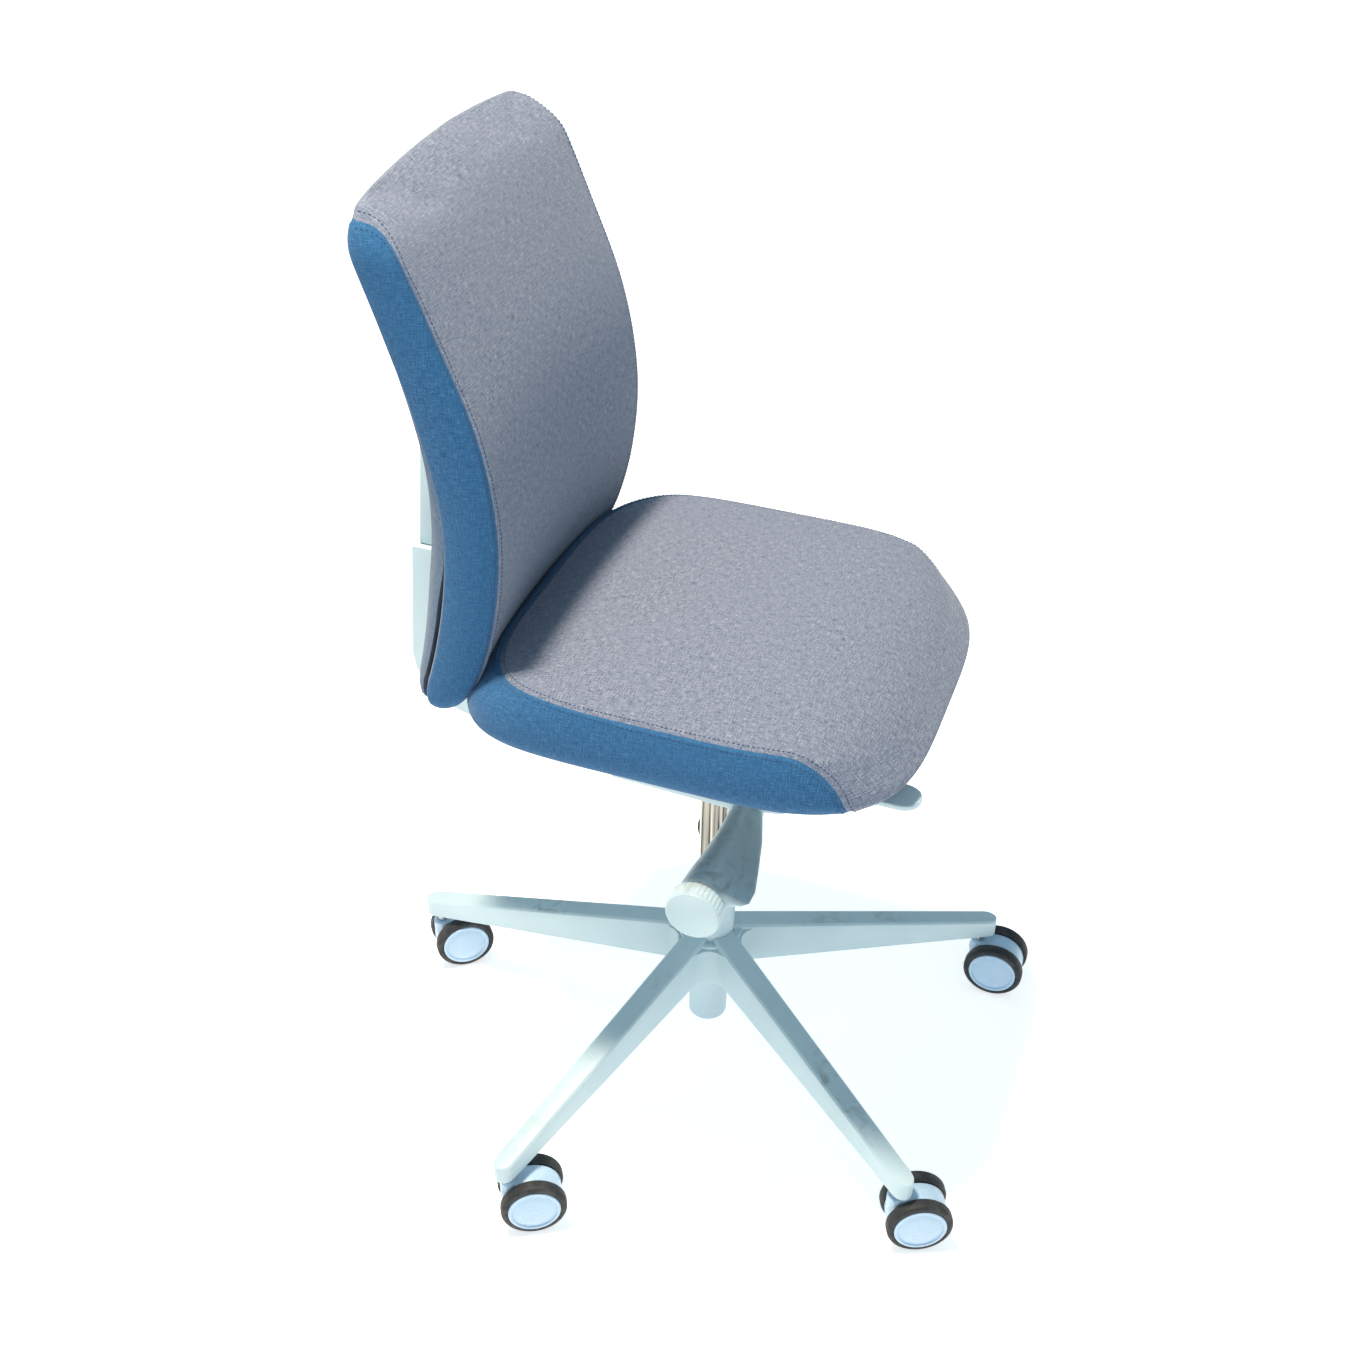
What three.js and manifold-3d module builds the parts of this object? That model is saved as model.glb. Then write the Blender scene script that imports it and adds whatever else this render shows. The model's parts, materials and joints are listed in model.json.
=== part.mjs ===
// A swivel task chair: five-arm base on twin-wheel casters, gas lift, tilt mechanism,
// padded seat on a sliding pan, and a padded back that rides on a J-shaped arm.
// Millimetres, +Z up. The sitter faces -Y and +X is the sitter's left. The origin is on the
// floor, below the middle of the chair's overall box.
import * as THREE from 'three';
import { mergeVertices } from 'three/addons/utils/BufferGeometryUtils.js';
import Module from 'manifold-3d';

const wasm = await Module();
wasm.setup();

// ---- driving dimensions ----
const GAP = 0.4; // clearance between touching pieces
const COLUMN_Y = -12.6; // column axis, in front of the middle of the overall box by this much

const ARM_COUNT = 5;
const ARM_REACH = 334; // column axis to the tip of an arm
const HUB_TOP = 157;
const TIP_TOP = 88;
const HUB_DEPTH = 49; // height of an arm's side at the hub
const TIP_DEPTH = 20;
const HUB_ARM_WIDTH = 25;
const TIP_ARM_WIDTH = 21;
const HUB_RADIUS = 33;

const CASTER_CIRCLE = 318; // column axis to a caster's stem
const WHEEL_DIAMETER = 65;
const CAP_DIAMETER = 53;
const WHEEL_WIDTH = 14;
const HOOD_WIDTH = 20;
const CASTER_TRAIL = 21; // stem to wheel axle
const STEM_RADIUS = 5;
const AXLE_RADIUS = 3;
// Direction that each caster trails in, anticlockwise from +X in degrees, from the rear arm round.
const CASTER_TRAIL_ANGLES = [-52, -60, -65, -89, -95];

const TUBE_RADIUS = 25;
const TUBE_TOP = 215;
const TUBE_FOOT_RADIUS = 20.2;
const TUBE_BOTTOM = 36;
const PISTON_RADIUS = 14;
const PISTON_BOTTOM = 165;
const PISTON_TOP = 405;
const ROD_RADIUS = 5;

const HOUSING_HALF_WIDTH = 60;
const HOUSING_BOTTOM = 374;
const HOUSING_WALL = 5;
const CONTROL_Y = -51; // axis that the height paddle and the tension knob share
const CONTROL_Z = 378;
const KNOB_FACE_X = -215;
const KNOB_DIAMETER = 51;
const KNOB_THICKNESS = 17;

const TILT_Y = -75; // pivot of the seat carrier
const TILT_Z = 430;
const RECLINE_Y = 72; // pivot of the back arm
const RECLINE_Z = 404;

const SEAT_HALF_WIDTH = 203;
const SEAT_FRONT = -226;
const SEAT_BACK = 184;
const SEAT_UNDERSIDE = 496;
const SEAT_SEAM = 555;
const SEAT_CROWN = 9;
const SEAT_SQUARENESS = { front: 3.7, back: 4.3 }; // 2 would be an ellipse
const PAN_UNDERSIDE = 471;
const ARMREST_PAD_DEPTH = 2.5; // the pads for armrests stand below the pan by this much

const BACK_HALF_WIDTH = 172;
const BACK_BOTTOM = 493;
const BACK_TOP = 972;
const UPRIGHT_HALF_WIDTH = 50;

// ---- finishes ----
const finish = (color, roughness, metalness = 0) =>
  new THREE.MeshStandardMaterial({ color, roughness, metalness });
const FINISH = {
  white: finish(0xe9eef0, 0.45),
  chrome: finish(0xd8d8d8, 0.12, 1),
  steel: finish(0x9a9da1, 0.35, 1),
  black: finish(0x17181a, 0.6),
  tyre: finish(0x1f2123, 0.8),
  grey: finish(0x9aa4a8, 0.5),
  mainFabric: finish(0x8a93a6, 0.95),
  sideFabric: finish(0x35699c, 0.95),
};

// ---- mesh helpers ----

/** Merges shared corners and drops the flat triangles that a pole leaves. */
function weld(geometry) {
  const bare = geometry.clone();
  bare.deleteAttribute('normal');
  bare.deleteAttribute('uv');
  const merged = mergeVertices(bare, 1e-4);
  const corners = merged.index.array;
  const kept = [];
  for (let i = 0; i < corners.length; i += 3) {
    const [a, b, c] = corners.slice(i, i + 3);
    if (a !== b && b !== c && c !== a) kept.push(a, b, c);
  }
  merged.setIndex(kept);
  merged.computeVertexNormals();
  return merged;
}

function toSolid(geometry) {
  const welded = weld(geometry);
  return new wasm.Manifold(new wasm.Mesh({
    numProp: 3,
    vertProperties: new Float32Array(welded.attributes.position.array),
    triVerts: new Uint32Array(welded.index.array),
  }));
}

function toGeometry(solid) {
  const mesh = solid.getMesh();
  const geometry = new THREE.BufferGeometry();
  geometry.setAttribute('position', new THREE.BufferAttribute(new Float32Array(mesh.vertProperties), 3));
  geometry.setIndex(new THREE.BufferAttribute(new Uint32Array(mesh.triVerts), 1));
  geometry.computeVertexNormals();
  return geometry;
}

const join = (...pieces) => toGeometry(pieces.map(toSolid).reduce((whole, piece) => whole.add(piece)));
const cut = (body, ...tools) => toGeometry(
  tools.map(toSolid).reduce((left, tool) => left.subtract(tool), toSolid(body)));

/** Turns an outline of [radius, height] points about the Z axis. */
function turned(outline, segments = 24) {
  const lathe = new THREE.LatheGeometry(outline.map(([r, z]) => new THREE.Vector2(r, z)), segments);
  return weld(lathe.rotateX(Math.PI / 2));
}

const disc = (radius, low, high, segments) => turned(
  [[0, low], [radius, low], [radius, high], [0, high]], segments);

const ring = (inner, outer, low, high, segments) => turned(
  [[inner, low], [outer, low], [outer, high], [inner, high], [inner, low]], segments);

/** Lays a piece made about Z along X, its +Z end towards +X. */
const alongX = (geometry) => geometry.rotateY(Math.PI / 2);

function outlineShape(points) {
  return new THREE.Shape(points.map(([u, v]) => new THREE.Vector2(u, v)));
}

/** Extrudes a side outline of [y, z] points across the chair, from x = low to x = high. */
function sidePrism(shape, low, high, curveSegments = 6) {
  const prism = new THREE.ExtrudeGeometry(shape, { depth: high - low, bevelEnabled: false, curveSegments });
  const across = new THREE.Matrix4().makeBasis(
    new THREE.Vector3(0, 1, 0), new THREE.Vector3(0, 0, 1), new THREE.Vector3(1, 0, 0));
  return weld(prism.applyMatrix4(across).translate(low, 0, 0));
}

/** Extrudes a plan outline upwards, from z = low to z = high. */
function planPrism(shape, low, high, curveSegments = 6) {
  const prism = new THREE.ExtrudeGeometry(shape, { depth: high - low, bevelEnabled: false, curveSegments });
  return weld(prism.translate(0, 0, low));
}

const block = (x0, x1, y0, y1, z0, z1) => weld(new THREE.BoxGeometry(x1 - x0, y1 - y0, z1 - z0)
  .translate((x0 + x1) / 2, (y0 + y1) / 2, (z0 + z1) / 2));

/** Skins a stack of rings, each a list of points, and closes both ends with a fan. */
function loft(rings) {
  const count = rings[0].length;
  const points = rings.flat();
  const triangles = [];
  for (let level = 0; level + 1 < rings.length; level += 1) {
    for (let i = 0; i < count; i += 1) {
      const a = level * count + i;
      const b = level * count + (i + 1) % count;
      triangles.push(a, b, a + count, b, b + count, a + count);
    }
  }
  for (const [level, flip] of [[0, true], [rings.length - 1, false]]) {
    const middle = rings[level].reduce((sum, p) => sum.add(p), new THREE.Vector3()).divideScalar(count);
    const hub = points.push(middle) - 1;
    for (let i = 0; i < count; i += 1) {
      const a = level * count + i;
      const b = level * count + (i + 1) % count;
      triangles.push(...(flip ? [hub, b, a] : [hub, a, b]));
    }
  }
  const signedVolume = (tris) => {
    let sum = 0;
    for (let i = 0; i < tris.length; i += 3) {
      const [a, b, c] = [0, 1, 2].map((corner) => points[tris[i + corner]]);
      sum += a.dot(new THREE.Vector3().crossVectors(b, c));
    }
    return sum;
  };
  if (signedVolume(triangles) < 0) triangles.reverse();
  const geometry = new THREE.BufferGeometry().setFromPoints(points);
  geometry.setIndex(triangles);
  return weld(geometry);
}

/** Points of a rounded rectangle in the plane: squareness 2 is an ellipse, higher is boxier. */
function roundedRing(halfU, halfV, squareness, count) {
  return Array.from({ length: count }, (_, i) => {
    const angle = (i + 0.5) / count * 2 * Math.PI;
    const boxiness = squareness.front ? squareness[angle > Math.PI ? 'front' : 'back'] : squareness;
    const power = (value) => Math.sign(value) * Math.abs(value) ** (2 / boxiness);
    return [halfU * power(Math.cos(angle)), halfV * power(Math.sin(angle))];
  });
}

/** A smooth curve through [z, y] knots, read as y at a height. */
function profile(knots) {
  return (z) => {
    const next = Math.max(1, knots.findIndex(([height]) => height >= z));
    const [[z0, y0], [z1, y1]] = z > knots.at(-1)[0] ? knots.slice(-2) : [knots[next - 1], knots[next]];
    const slopeAt = (i) => {
      const [before, after] = [knots[Math.max(0, i - 1)], knots[Math.min(knots.length - 1, i + 1)]];
      return (after[1] - before[1]) / (after[0] - before[0]);
    };
    const index = knots.findIndex(([height]) => height === z0);
    const span = z1 - z0;
    const t = (z - z0) / span;
    const rise = y1 - y0;
    const [startSlope, endSlope] = [slopeAt(index) * span, slopeAt(index + 1) * span];
    return y0 + t * startSlope + t * t * (3 * rise - 2 * startSlope - endSlope)
      + t * t * t * (startSlope + endSlope - 2 * rise);
  };
}

const chair = new THREE.Group();
const aboutColumn = new THREE.Group();
aboutColumn.position.set(0, COLUMN_Y, 0);
chair.add(aboutColumn);

function place(name, geometry, material, parent = aboutColumn) {
  const mesh = new THREE.Mesh(geometry, material);
  mesh.name = name;
  parent.add(mesh);
  return mesh;
}

// ---- base ----

/** One arm along +X: a tall flat-topped beam that gets shallower and ends in a rounded tip. */
function baseArm() {
  const mix = (from, to, t) => from + (to - from) * t;
  const section = (r, width) => {
    const t = (r - 45) / (ARM_REACH - 45);
    const top = mix(HUB_TOP, TIP_TOP, t);
    const bottom = top - mix(HUB_DEPTH, TIP_DEPTH, t);
    const half = width / 2;
    const chamfer = Math.min(2, half / 2);
    return [[-half, bottom], [half, bottom], [half, top - chamfer], [half - chamfer, top],
      [chamfer - half, top], [-half, top - chamfer]].map(([y, z]) => new THREE.Vector3(r, y, z));
  };
  const roundStart = ARM_REACH - TIP_ARM_WIDTH / 2;
  const straight = [18, 45, 150, 250, roundStart].map((r) => section(
    r, mix(HUB_ARM_WIDTH, TIP_ARM_WIDTH, (r - 18) / (roundStart - 18))));
  const round = [25, 50, 70, 84].map((degrees) => {
    const angle = THREE.MathUtils.degToRad(degrees);
    return section(roundStart + Math.sin(angle) * TIP_ARM_WIDTH / 2, Math.cos(angle) * TIP_ARM_WIDTH);
  });
  return loft([...straight, ...round]);
}

/** The web between the arms: a five-pointed plate whose inner corners are rounded. */
function hubWeb() {
  const shape = new THREE.Shape();
  const step = 2 * Math.PI / ARM_COUNT;
  const reach = 58;
  const armSide = (arm, side) => {
    const angle = Math.PI / 2 + arm * step;
    const half = side * (HUB_ARM_WIDTH / 2 - 1);
    const [along, across] = [Math.cos(angle), Math.sin(angle)];
    return [reach * along - half * across, reach * across + half * along];
  };
  shape.moveTo(...armSide(0, 1));
  for (let arm = 0; arm < ARM_COUNT; arm += 1) {
    const middle = Math.PI / 2 + (arm + 0.5) * step;
    shape.quadraticCurveTo(16 * Math.cos(middle), 16 * Math.sin(middle), ...armSide(arm + 1, -1));
    shape.lineTo(...armSide(arm + 1, 1));
  }
  return planPrism(shape, HUB_TOP - HUB_DEPTH, HUB_TOP - 4);
}

function starBase() {
  const arms = Array.from({ length: ARM_COUNT }, (_, i) => baseArm()
    .rotateZ(Math.PI / 2 + i * 2 * Math.PI / ARM_COUNT));
  const boss = turned([[0, HUB_TOP - HUB_DEPTH - 4], [HUB_RADIUS + 1, HUB_TOP - HUB_DEPTH - 4],
    [HUB_RADIUS, HUB_TOP], [0, HUB_TOP]], 30);
  const columnBore = disc(TUBE_RADIUS + GAP, HUB_TOP - HUB_DEPTH + 8, HUB_TOP + 20, 24);
  const footBore = disc(TUBE_FOOT_RADIUS + GAP, 50, HUB_TOP, 24);
  const stemSockets = Array.from({ length: ARM_COUNT }, (_, i) => disc(
    STEM_RADIUS + GAP, 40, TIP_TOP - 6, 12,
  ).translate(CASTER_CIRCLE, 0, 0).rotateZ(Math.PI / 2 + i * 2 * Math.PI / ARM_COUNT));
  return cut(join(...arms, hubWeb(), boss), columnBore, footBore, ...stemSockets);
}

place('star_base', starBase(), FINISH.white);

// ---- casters ----

/** The hood between the wheels: a round fender about the axle with a post for the stem. */
function casterHood() {
  const radius = WHEEL_DIAMETER / 2;
  const hood = disc(radius - 3, -HOOD_WIDTH / 2, HOOD_WIDTH / 2, 28).rotateX(Math.PI / 2)
    .translate(CASTER_TRAIL, 0, radius);
  const post = disc(HOOD_WIDTH / 2 - 0.5, radius, radius + 26, 16);
  const floorSide = block(CASTER_TRAIL - 40, CASTER_TRAIL + 40, -20, 20, -5, radius - 20);
  const axleBore = disc(AXLE_RADIUS + GAP, -20, 20, 10).rotateX(Math.PI / 2)
    .translate(CASTER_TRAIL, 0, radius);
  const stemBore = disc(STEM_RADIUS + GAP, radius + 8, radius + 40, 12);
  return cut(join(hood, post), floorSide, axleBore, stemBore);
}

/** A wheel disc with a shallow dished cap, made about Z with its cap towards +Z. */
function wheelDisc() {
  const rim = CAP_DIAMETER / 2;
  const bore = AXLE_RADIUS + GAP;
  return turned([[bore, 0], [rim - 1, 0], [rim - 1, WHEEL_WIDTH - 2], [rim - 3, WHEEL_WIDTH],
    [rim - 5, WHEEL_WIDTH - 1], [0, WHEEL_WIDTH - 1], [0, WHEEL_WIDTH - 4], [bore, WHEEL_WIDTH - 4],
    [bore, 0]]);
}

function wheelTyre() {
  const inner = CAP_DIAMETER / 2 - 1 + GAP;
  const tread = WHEEL_DIAMETER / 2;
  return turned([[inner, 0.5], [tread - 3, 0], [tread, 3], [tread, WHEEL_WIDTH - 4],
    [tread - 2.5, WHEEL_WIDTH - 1], [inner, WHEEL_WIDTH - 1.5], [inner, 0.5]]);
}

function addCaster(index) {
  const number = index + 1;
  const caster = new THREE.Group();
  const armAngle = Math.PI / 2 + index * 2 * Math.PI / ARM_COUNT;
  caster.position.set(CASTER_CIRCLE * Math.cos(armAngle), CASTER_CIRCLE * Math.sin(armAngle), 0);
  caster.rotation.z = THREE.MathUtils.degToRad(CASTER_TRAIL_ANGLES[index]);
  aboutColumn.add(caster);
  const radius = WHEEL_DIAMETER / 2;
  place(`caster_hood_${number}`, casterHood(), FINISH.white, caster);
  place(`caster_stem_${number}`, disc(STEM_RADIUS, radius + 9, TIP_TOP - 7, 12), FINISH.steel, caster);
  const axleHalf = HOOD_WIDTH / 2 + 8;
  place(`caster_axle_${number}`, disc(AXLE_RADIUS, -axleHalf, axleHalf, 10).rotateX(Math.PI / 2)
    .translate(CASTER_TRAIL, 0, radius), FINISH.steel, caster);
  for (const [side, sign] of [['left', 1], ['right', -1]]) {
    const wheel = new THREE.Group();
    wheel.position.set(CASTER_TRAIL, sign * (HOOD_WIDTH / 2 + GAP), radius);
    wheel.rotation.x = -sign * Math.PI / 2;
    caster.add(wheel);
    place(`caster_wheel_${side}_${number}`, wheelDisc(), FINISH.white, wheel);
    place(`caster_tyre_${side}_${number}`, wheelTyre(), FINISH.tyre, wheel);
  }
}

for (let index = 0; index < ARM_COUNT; index += 1) addCaster(index);

// ---- gas lift ----
const HUB_LEDGE = HUB_TOP - HUB_DEPTH + 8 + GAP; // shoulder that the column stands on
const ROD_FOOT = TUBE_BOTTOM + 12;
const ROD_BORE_TOP = 350;
const VALVE_RADIUS = 4;
place('column_tube', turned([[0, TUBE_BOTTOM], [TUBE_FOOT_RADIUS - 1.5, TUBE_BOTTOM],
  [TUBE_FOOT_RADIUS, TUBE_BOTTOM + 1.5], [TUBE_FOOT_RADIUS, HUB_LEDGE], [TUBE_RADIUS, HUB_LEDGE],
  [TUBE_RADIUS, TUBE_TOP - 1], [TUBE_RADIUS - 1, TUBE_TOP], [TUBE_RADIUS - 3, TUBE_TOP],
  [TUBE_RADIUS - 3, HUB_LEDGE + 4], [TUBE_FOOT_RADIUS - 3, HUB_LEDGE + 2], [TUBE_FOOT_RADIUS - 3, ROD_FOOT],
  [0, ROD_FOOT]]), FINISH.white);
place('piston_rod', disc(ROD_RADIUS, ROD_FOOT + GAP, 215, 12), FINISH.steel);
place('guide_bush', ring(PISTON_RADIUS + GAP, TUBE_RADIUS - 3 - GAP, 172, TUBE_TOP - 1), FINISH.black);
place('gas_cylinder', turned([[ROD_RADIUS + 1, PISTON_BOTTOM], [PISTON_RADIUS, PISTON_BOTTOM],
  [PISTON_RADIUS, PISTON_TOP - 30], [PISTON_RADIUS - 1, PISTON_TOP], [VALVE_RADIUS + 0.6, PISTON_TOP],
  [VALVE_RADIUS + 0.6, PISTON_TOP - 18], [0, PISTON_TOP - 18], [0, ROD_BORE_TOP],
  [ROD_RADIUS + 1, ROD_BORE_TOP], [ROD_RADIUS + 1, PISTON_BOTTOM]]), FINISH.chrome);
place('valve_pin', disc(VALVE_RADIUS, PISTON_TOP - 11, PISTON_TOP + 5, 12), FINISH.steel);

// ---- tilt mechanism ----

const PIVOT_RADIUS = 5;
const SLEEVE_RADIUS = 9; // the paddle's sleeve, through the tray's wall

/** The hole for a pivot that lies across the chair. */
const pivotBore = (y, z) => alongX(disc(PIVOT_RADIUS + GAP, -90, 90, 12)).translate(0, y, z);

/** An open-topped tray: front-high side walls, with a socket for the gas cylinder. */
function housing() {
  const side = outlineShape([[-112, 398], [-84, HOUSING_BOTTOM + 8], [-40, HOUSING_BOTTOM],
    [84, HOUSING_BOTTOM + 4], [100, 392], [100, 412], [-50, 434], [-112, 442]]);
  const body = sidePrism(side, -HOUSING_HALF_WIDTH, HOUSING_HALF_WIDTH);
  const inner = HOUSING_HALF_WIDTH - HOUSING_WALL;
  const hollow = sidePrism(outlineShape([[-106, 404], [-82, HOUSING_BOTTOM + 13], [-40, HOUSING_BOTTOM + 6],
    [110, HOUSING_BOTTOM + 10], [110, 470], [-106, 470]]), -inner, inner);
  const socketWall = disc(22, HOUSING_BOTTOM + 2, PISTON_TOP - 6, 24);
  const socket = disc(PISTON_RADIUS + GAP, 300, 460, 24);
  const [controlBoss, controlBore] = [
    disc(17, -HOUSING_HALF_WIDTH - 4, -inner - 2), disc(SLEEVE_RADIUS + GAP, -90, -30, 20),
  ].map((piece) => alongX(piece).translate(0, CONTROL_Y, CONTROL_Z));
  const shell = join(cut(body, hollow), socketWall, controlBoss);
  return cut(shell, socket, controlBore, pivotBore(TILT_Y, TILT_Z), pivotBore(RECLINE_Y, RECLINE_Z));
}

place('mechanism_housing', housing(), FINISH.white);
place('tilt_axle', alongX(disc(PIVOT_RADIUS, -HOUSING_HALF_WIDTH - 7, HOUSING_HALF_WIDTH + 7, 12))
  .translate(0, TILT_Y, TILT_Z), FINISH.steel);
place('recline_axle', alongX(disc(PIVOT_RADIUS, -HOUSING_HALF_WIDTH, HOUSING_HALF_WIDTH, 12))
  .translate(0, RECLINE_Y, RECLINE_Z), FINISH.steel);

/** The coil spring that the tension knob loads, lying fore and aft in the tray. */
function tensionSpring() {
  const [turns, radius, length, wireRadius] = [7, 9, 56, 1.8];
  const [centreX, frontY, centreZ] = [34, -90, 408];
  class Helix extends THREE.Curve {
    getPoint(t, target = new THREE.Vector3()) {
      const angle = 2 * Math.PI * turns * t;
      const [across, up] = [Math.cos(angle), Math.sin(angle)].map((part) => radius * part);
      return target.set(centreX + across, frontY + length * t, centreZ + up);
    }
  }
  const wire = new THREE.Shape();
  wire.absarc(0, 0, wireRadius, 0, 2 * Math.PI);
  const settings = { steps: turns * 9, extrudePath: new Helix(), curveSegments: 3 };
  return weld(new THREE.ExtrudeGeometry(wire, settings));
}

place('tension_spring', tensionSpring(), FINISH.steel);

// ---- height paddle and tension knob ----

const SHAFT_RADIUS = 4;

/** A round handle with a wing in front that widens towards the hand, and a crank over the valve pin. */
function heightPaddle() {
  const innerX = -HOUSING_HALF_WIDTH - 4 - GAP;
  const outerX = KNOB_FACE_X + KNOB_THICKNESS + 6;
  const handle = alongX(turned([[0, outerX], [22, outerX], [22, outerX + 10], [15, innerX - 20],
    [14, innerX], [0, innerX]]));
  const wing = loft([[innerX, -15, 5], [-110, -27, 4], [-150, -38, 3.5], [outerX + 14, -43, 3],
    [outerX, -40, 2]].map(([x, reach, half]) => [[0, -half], [0, half], [reach + 4, half], [reach, 0], [reach + 4, -half]]
      .map(([y, z]) => new THREE.Vector3(x, y, z + 4))));
  const sleeve = alongX(disc(SLEEVE_RADIUS, innerX - 5, -34, 20));
  const [fingerLow, fingerHigh] = [7, 12].map((above) => PISTON_TOP + above - CONTROL_Z);
  const [fingerFront, fingerBack] = [-4, 4].map((from) => from - CONTROL_Y);
  const crank = sidePrism(outlineShape([[-10, 8], [6, 8], [fingerBack, fingerLow], [fingerBack, fingerHigh],
    [fingerFront, fingerHigh], [-10, 16]]), -44, -34);
  const finger = block(-36, 4, fingerFront, fingerBack, fingerLow, fingerHigh);
  const shaftBore = alongX(disc(SHAFT_RADIUS + GAP, -260, 0, 12));
  return cut(join(handle, wing, sleeve, crank, finger), shaftBore).translate(0, CONTROL_Y, CONTROL_Z);
}

place('height_paddle', heightPaddle(), FINISH.white);
place('knob_collar', alongX(ring(SHAFT_RADIUS + GAP, 21, KNOB_FACE_X + KNOB_THICKNESS + GAP,
  KNOB_FACE_X + KNOB_THICKNESS + 6 - GAP)).translate(0, CONTROL_Y, CONTROL_Z), FINISH.grey);

/** A round knob with finger ribs round its rim, on the shaft that runs through the paddle. */
function tensionKnob() {
  const ribs = 30;
  const rim = new THREE.Shape();
  for (let i = 0; i < ribs * 2; i += 1) {
    const angle = i / (ribs * 2) * 2 * Math.PI;
    const radius = KNOB_DIAMETER / 2 - (i % 2 ? 1 : 0);
    rim[i ? 'lineTo' : 'moveTo'](radius * Math.cos(angle), radius * Math.sin(angle));
  }
  const body = planPrism(rim, KNOB_FACE_X + 2, KNOB_FACE_X + KNOB_THICKNESS);
  const face = disc(KNOB_DIAMETER / 2 - 1.2, KNOB_FACE_X, KNOB_FACE_X + 4, 30);
  const shaft = disc(SHAFT_RADIUS, KNOB_FACE_X + 7, -48, 12);
  return alongX(join(body, face, shaft)).translate(0, CONTROL_Y, CONTROL_Z);
}

place('tension_knob', tensionKnob(), FINISH.white);

// ---- seat carrier, slide rails and depth lever ----
const CARRIER_TOP = 456;

/** The plate that tilts under the seat, with two cheeks outside the tray for the tilt axle. */
function seatCarrier() {
  const deck = block(-70, 70, -118, 112, CARRIER_TOP - 12, CARRIER_TOP);
  const cheekIn = HOUSING_HALF_WIDTH + 1;
  const cheeks = [-cheekIn - 6, cheekIn].map((x) => block(
    x, x + 6, TILT_Y - 12, TILT_Y + 12, TILT_Z - 10, CARRIER_TOP - 6));
  return cut(join(deck, ...cheeks), pivotBore(TILT_Y, TILT_Z));
}

place('seat_carrier', seatCarrier(), FINISH.black);
for (const [side, sign] of [['left', 1], ['right', -1]]) {
  const [low, high] = [sign * 48, sign * 68].sort((a, b) => a - b);
  const rail = block(low, high, -130, 118, CARRIER_TOP + GAP, PAN_UNDERSIDE - GAP);
  place(`slide_rail_${side}`, rail, FINISH.steel);
}

/** The plan outline of the seat, pulled in all round by an inset. */
function seatRing(inset, count, heightAt) {
  const middle = (SEAT_FRONT + SEAT_BACK) / 2;
  const halfDepth = (SEAT_BACK - SEAT_FRONT) / 2;
  return roundedRing(SEAT_HALF_WIDTH - inset, halfDepth - inset, SEAT_SQUARENESS, count)
    .map(([x, y]) => new THREE.Vector3(x, middle + y, heightAt(middle + y)));
}

/** How far forward a place is between the start of the front roll and the front edge, 0 to 1. */
const forwardShare = (y, start) => Math.max(0, start - y) / (start - SEAT_FRONT);

/** How far the top rolls down and the underside comes up towards the front. */
const frontDrop = (y) => 34 * forwardShare(y, -112) ** 1.8;
const undersideRise = (y) => 4 * forwardShare(y, -120);

function seatCushion() {
  const count = 36;
  const underside = (y) => SEAT_UNDERSIDE + undersideRise(y);
  const seam = (y) => SEAT_SEAM - frontDrop(y);
  const between = (t) => (y) => underside(y) + t * (seam(y) - underside(y));
  return loft([
    seatRing(34, count, underside), seatRing(10, count, underside), seatRing(0, count, between(0.3)),
    seatRing(1, count, between(0.7)), seatRing(9, count, between(1)),
    seatRing(50, count, (y) => seam(y) + SEAT_CROWN * 0.6),
    seatRing(110, count, (y) => seam(y) + SEAT_CROWN),
  ]);
}

place('seat_cushion', seatCushion(), FINISH.mainFabric);

function seatPan() {
  const bowl = loft([
    seatRing(74, 28, () => PAN_UNDERSIDE), seatRing(40, 28, () => PAN_UNDERSIDE + 11),
    seatRing(30, 28, (y) => SEAT_UNDERSIDE - GAP + undersideRise(y) * 0.5),
  ]);
  const leverSlot = block(-128, -88, -300, -120, 440, 490);
  const armrestPads = [-1, 1].map((side) => planPrism(
    outlineShape([[78, -52], [122, -52], [122, 12], [78, 12]].map(([x, y]) => [side * x, y])),
    PAN_UNDERSIDE - ARMREST_PAD_DEPTH, PAN_UNDERSIDE + 2));
  return cut(join(bowl, ...armrestPads), leverSlot);
}

place('seat_pan', seatPan(), FINISH.black);

/** The flat tongue under the front of the seat that frees the depth slide. */
function depthLever() {
  const tongue = new THREE.Shape();
  tongue.moveTo(-124, -150);
  tongue.lineTo(-124, -206);
  tongue.quadraticCurveTo(-122, -221, -108, -222);
  tongue.quadraticCurveTo(-94, -221, -92, -206);
  tongue.lineTo(-92, -150);
  return planPrism(tongue, 474, 480);
}

place('depth_lever', depthLever(), FINISH.white);

// ---- back ----
const padFront = profile([[480, 204], [555, 168], [630, 150], [705, 145], [785, 158], [865, 189],
  [940, 219], [980, 240]]);
const padRear = profile([[480, 236], [560, 212], [640, 198], [705, 197], [785, 215], [865, 241],
  [940, 261], [980, 264]]);
const panelRear = profile([[480, 258], [620, 244], [740, 239], [820, 244], [880, 256]]);
const uprightFront = (z) => 267 - 0.08 * (z - 480); // straight, so that the slider can run on it

/** How much deeper the pad's front is in its middle than at its sides: most low down, at the seat. */
const padHollow = (z) => 8 + 14 * THREE.MathUtils.clamp((690 - z) / 120, 0, 1);

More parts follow.
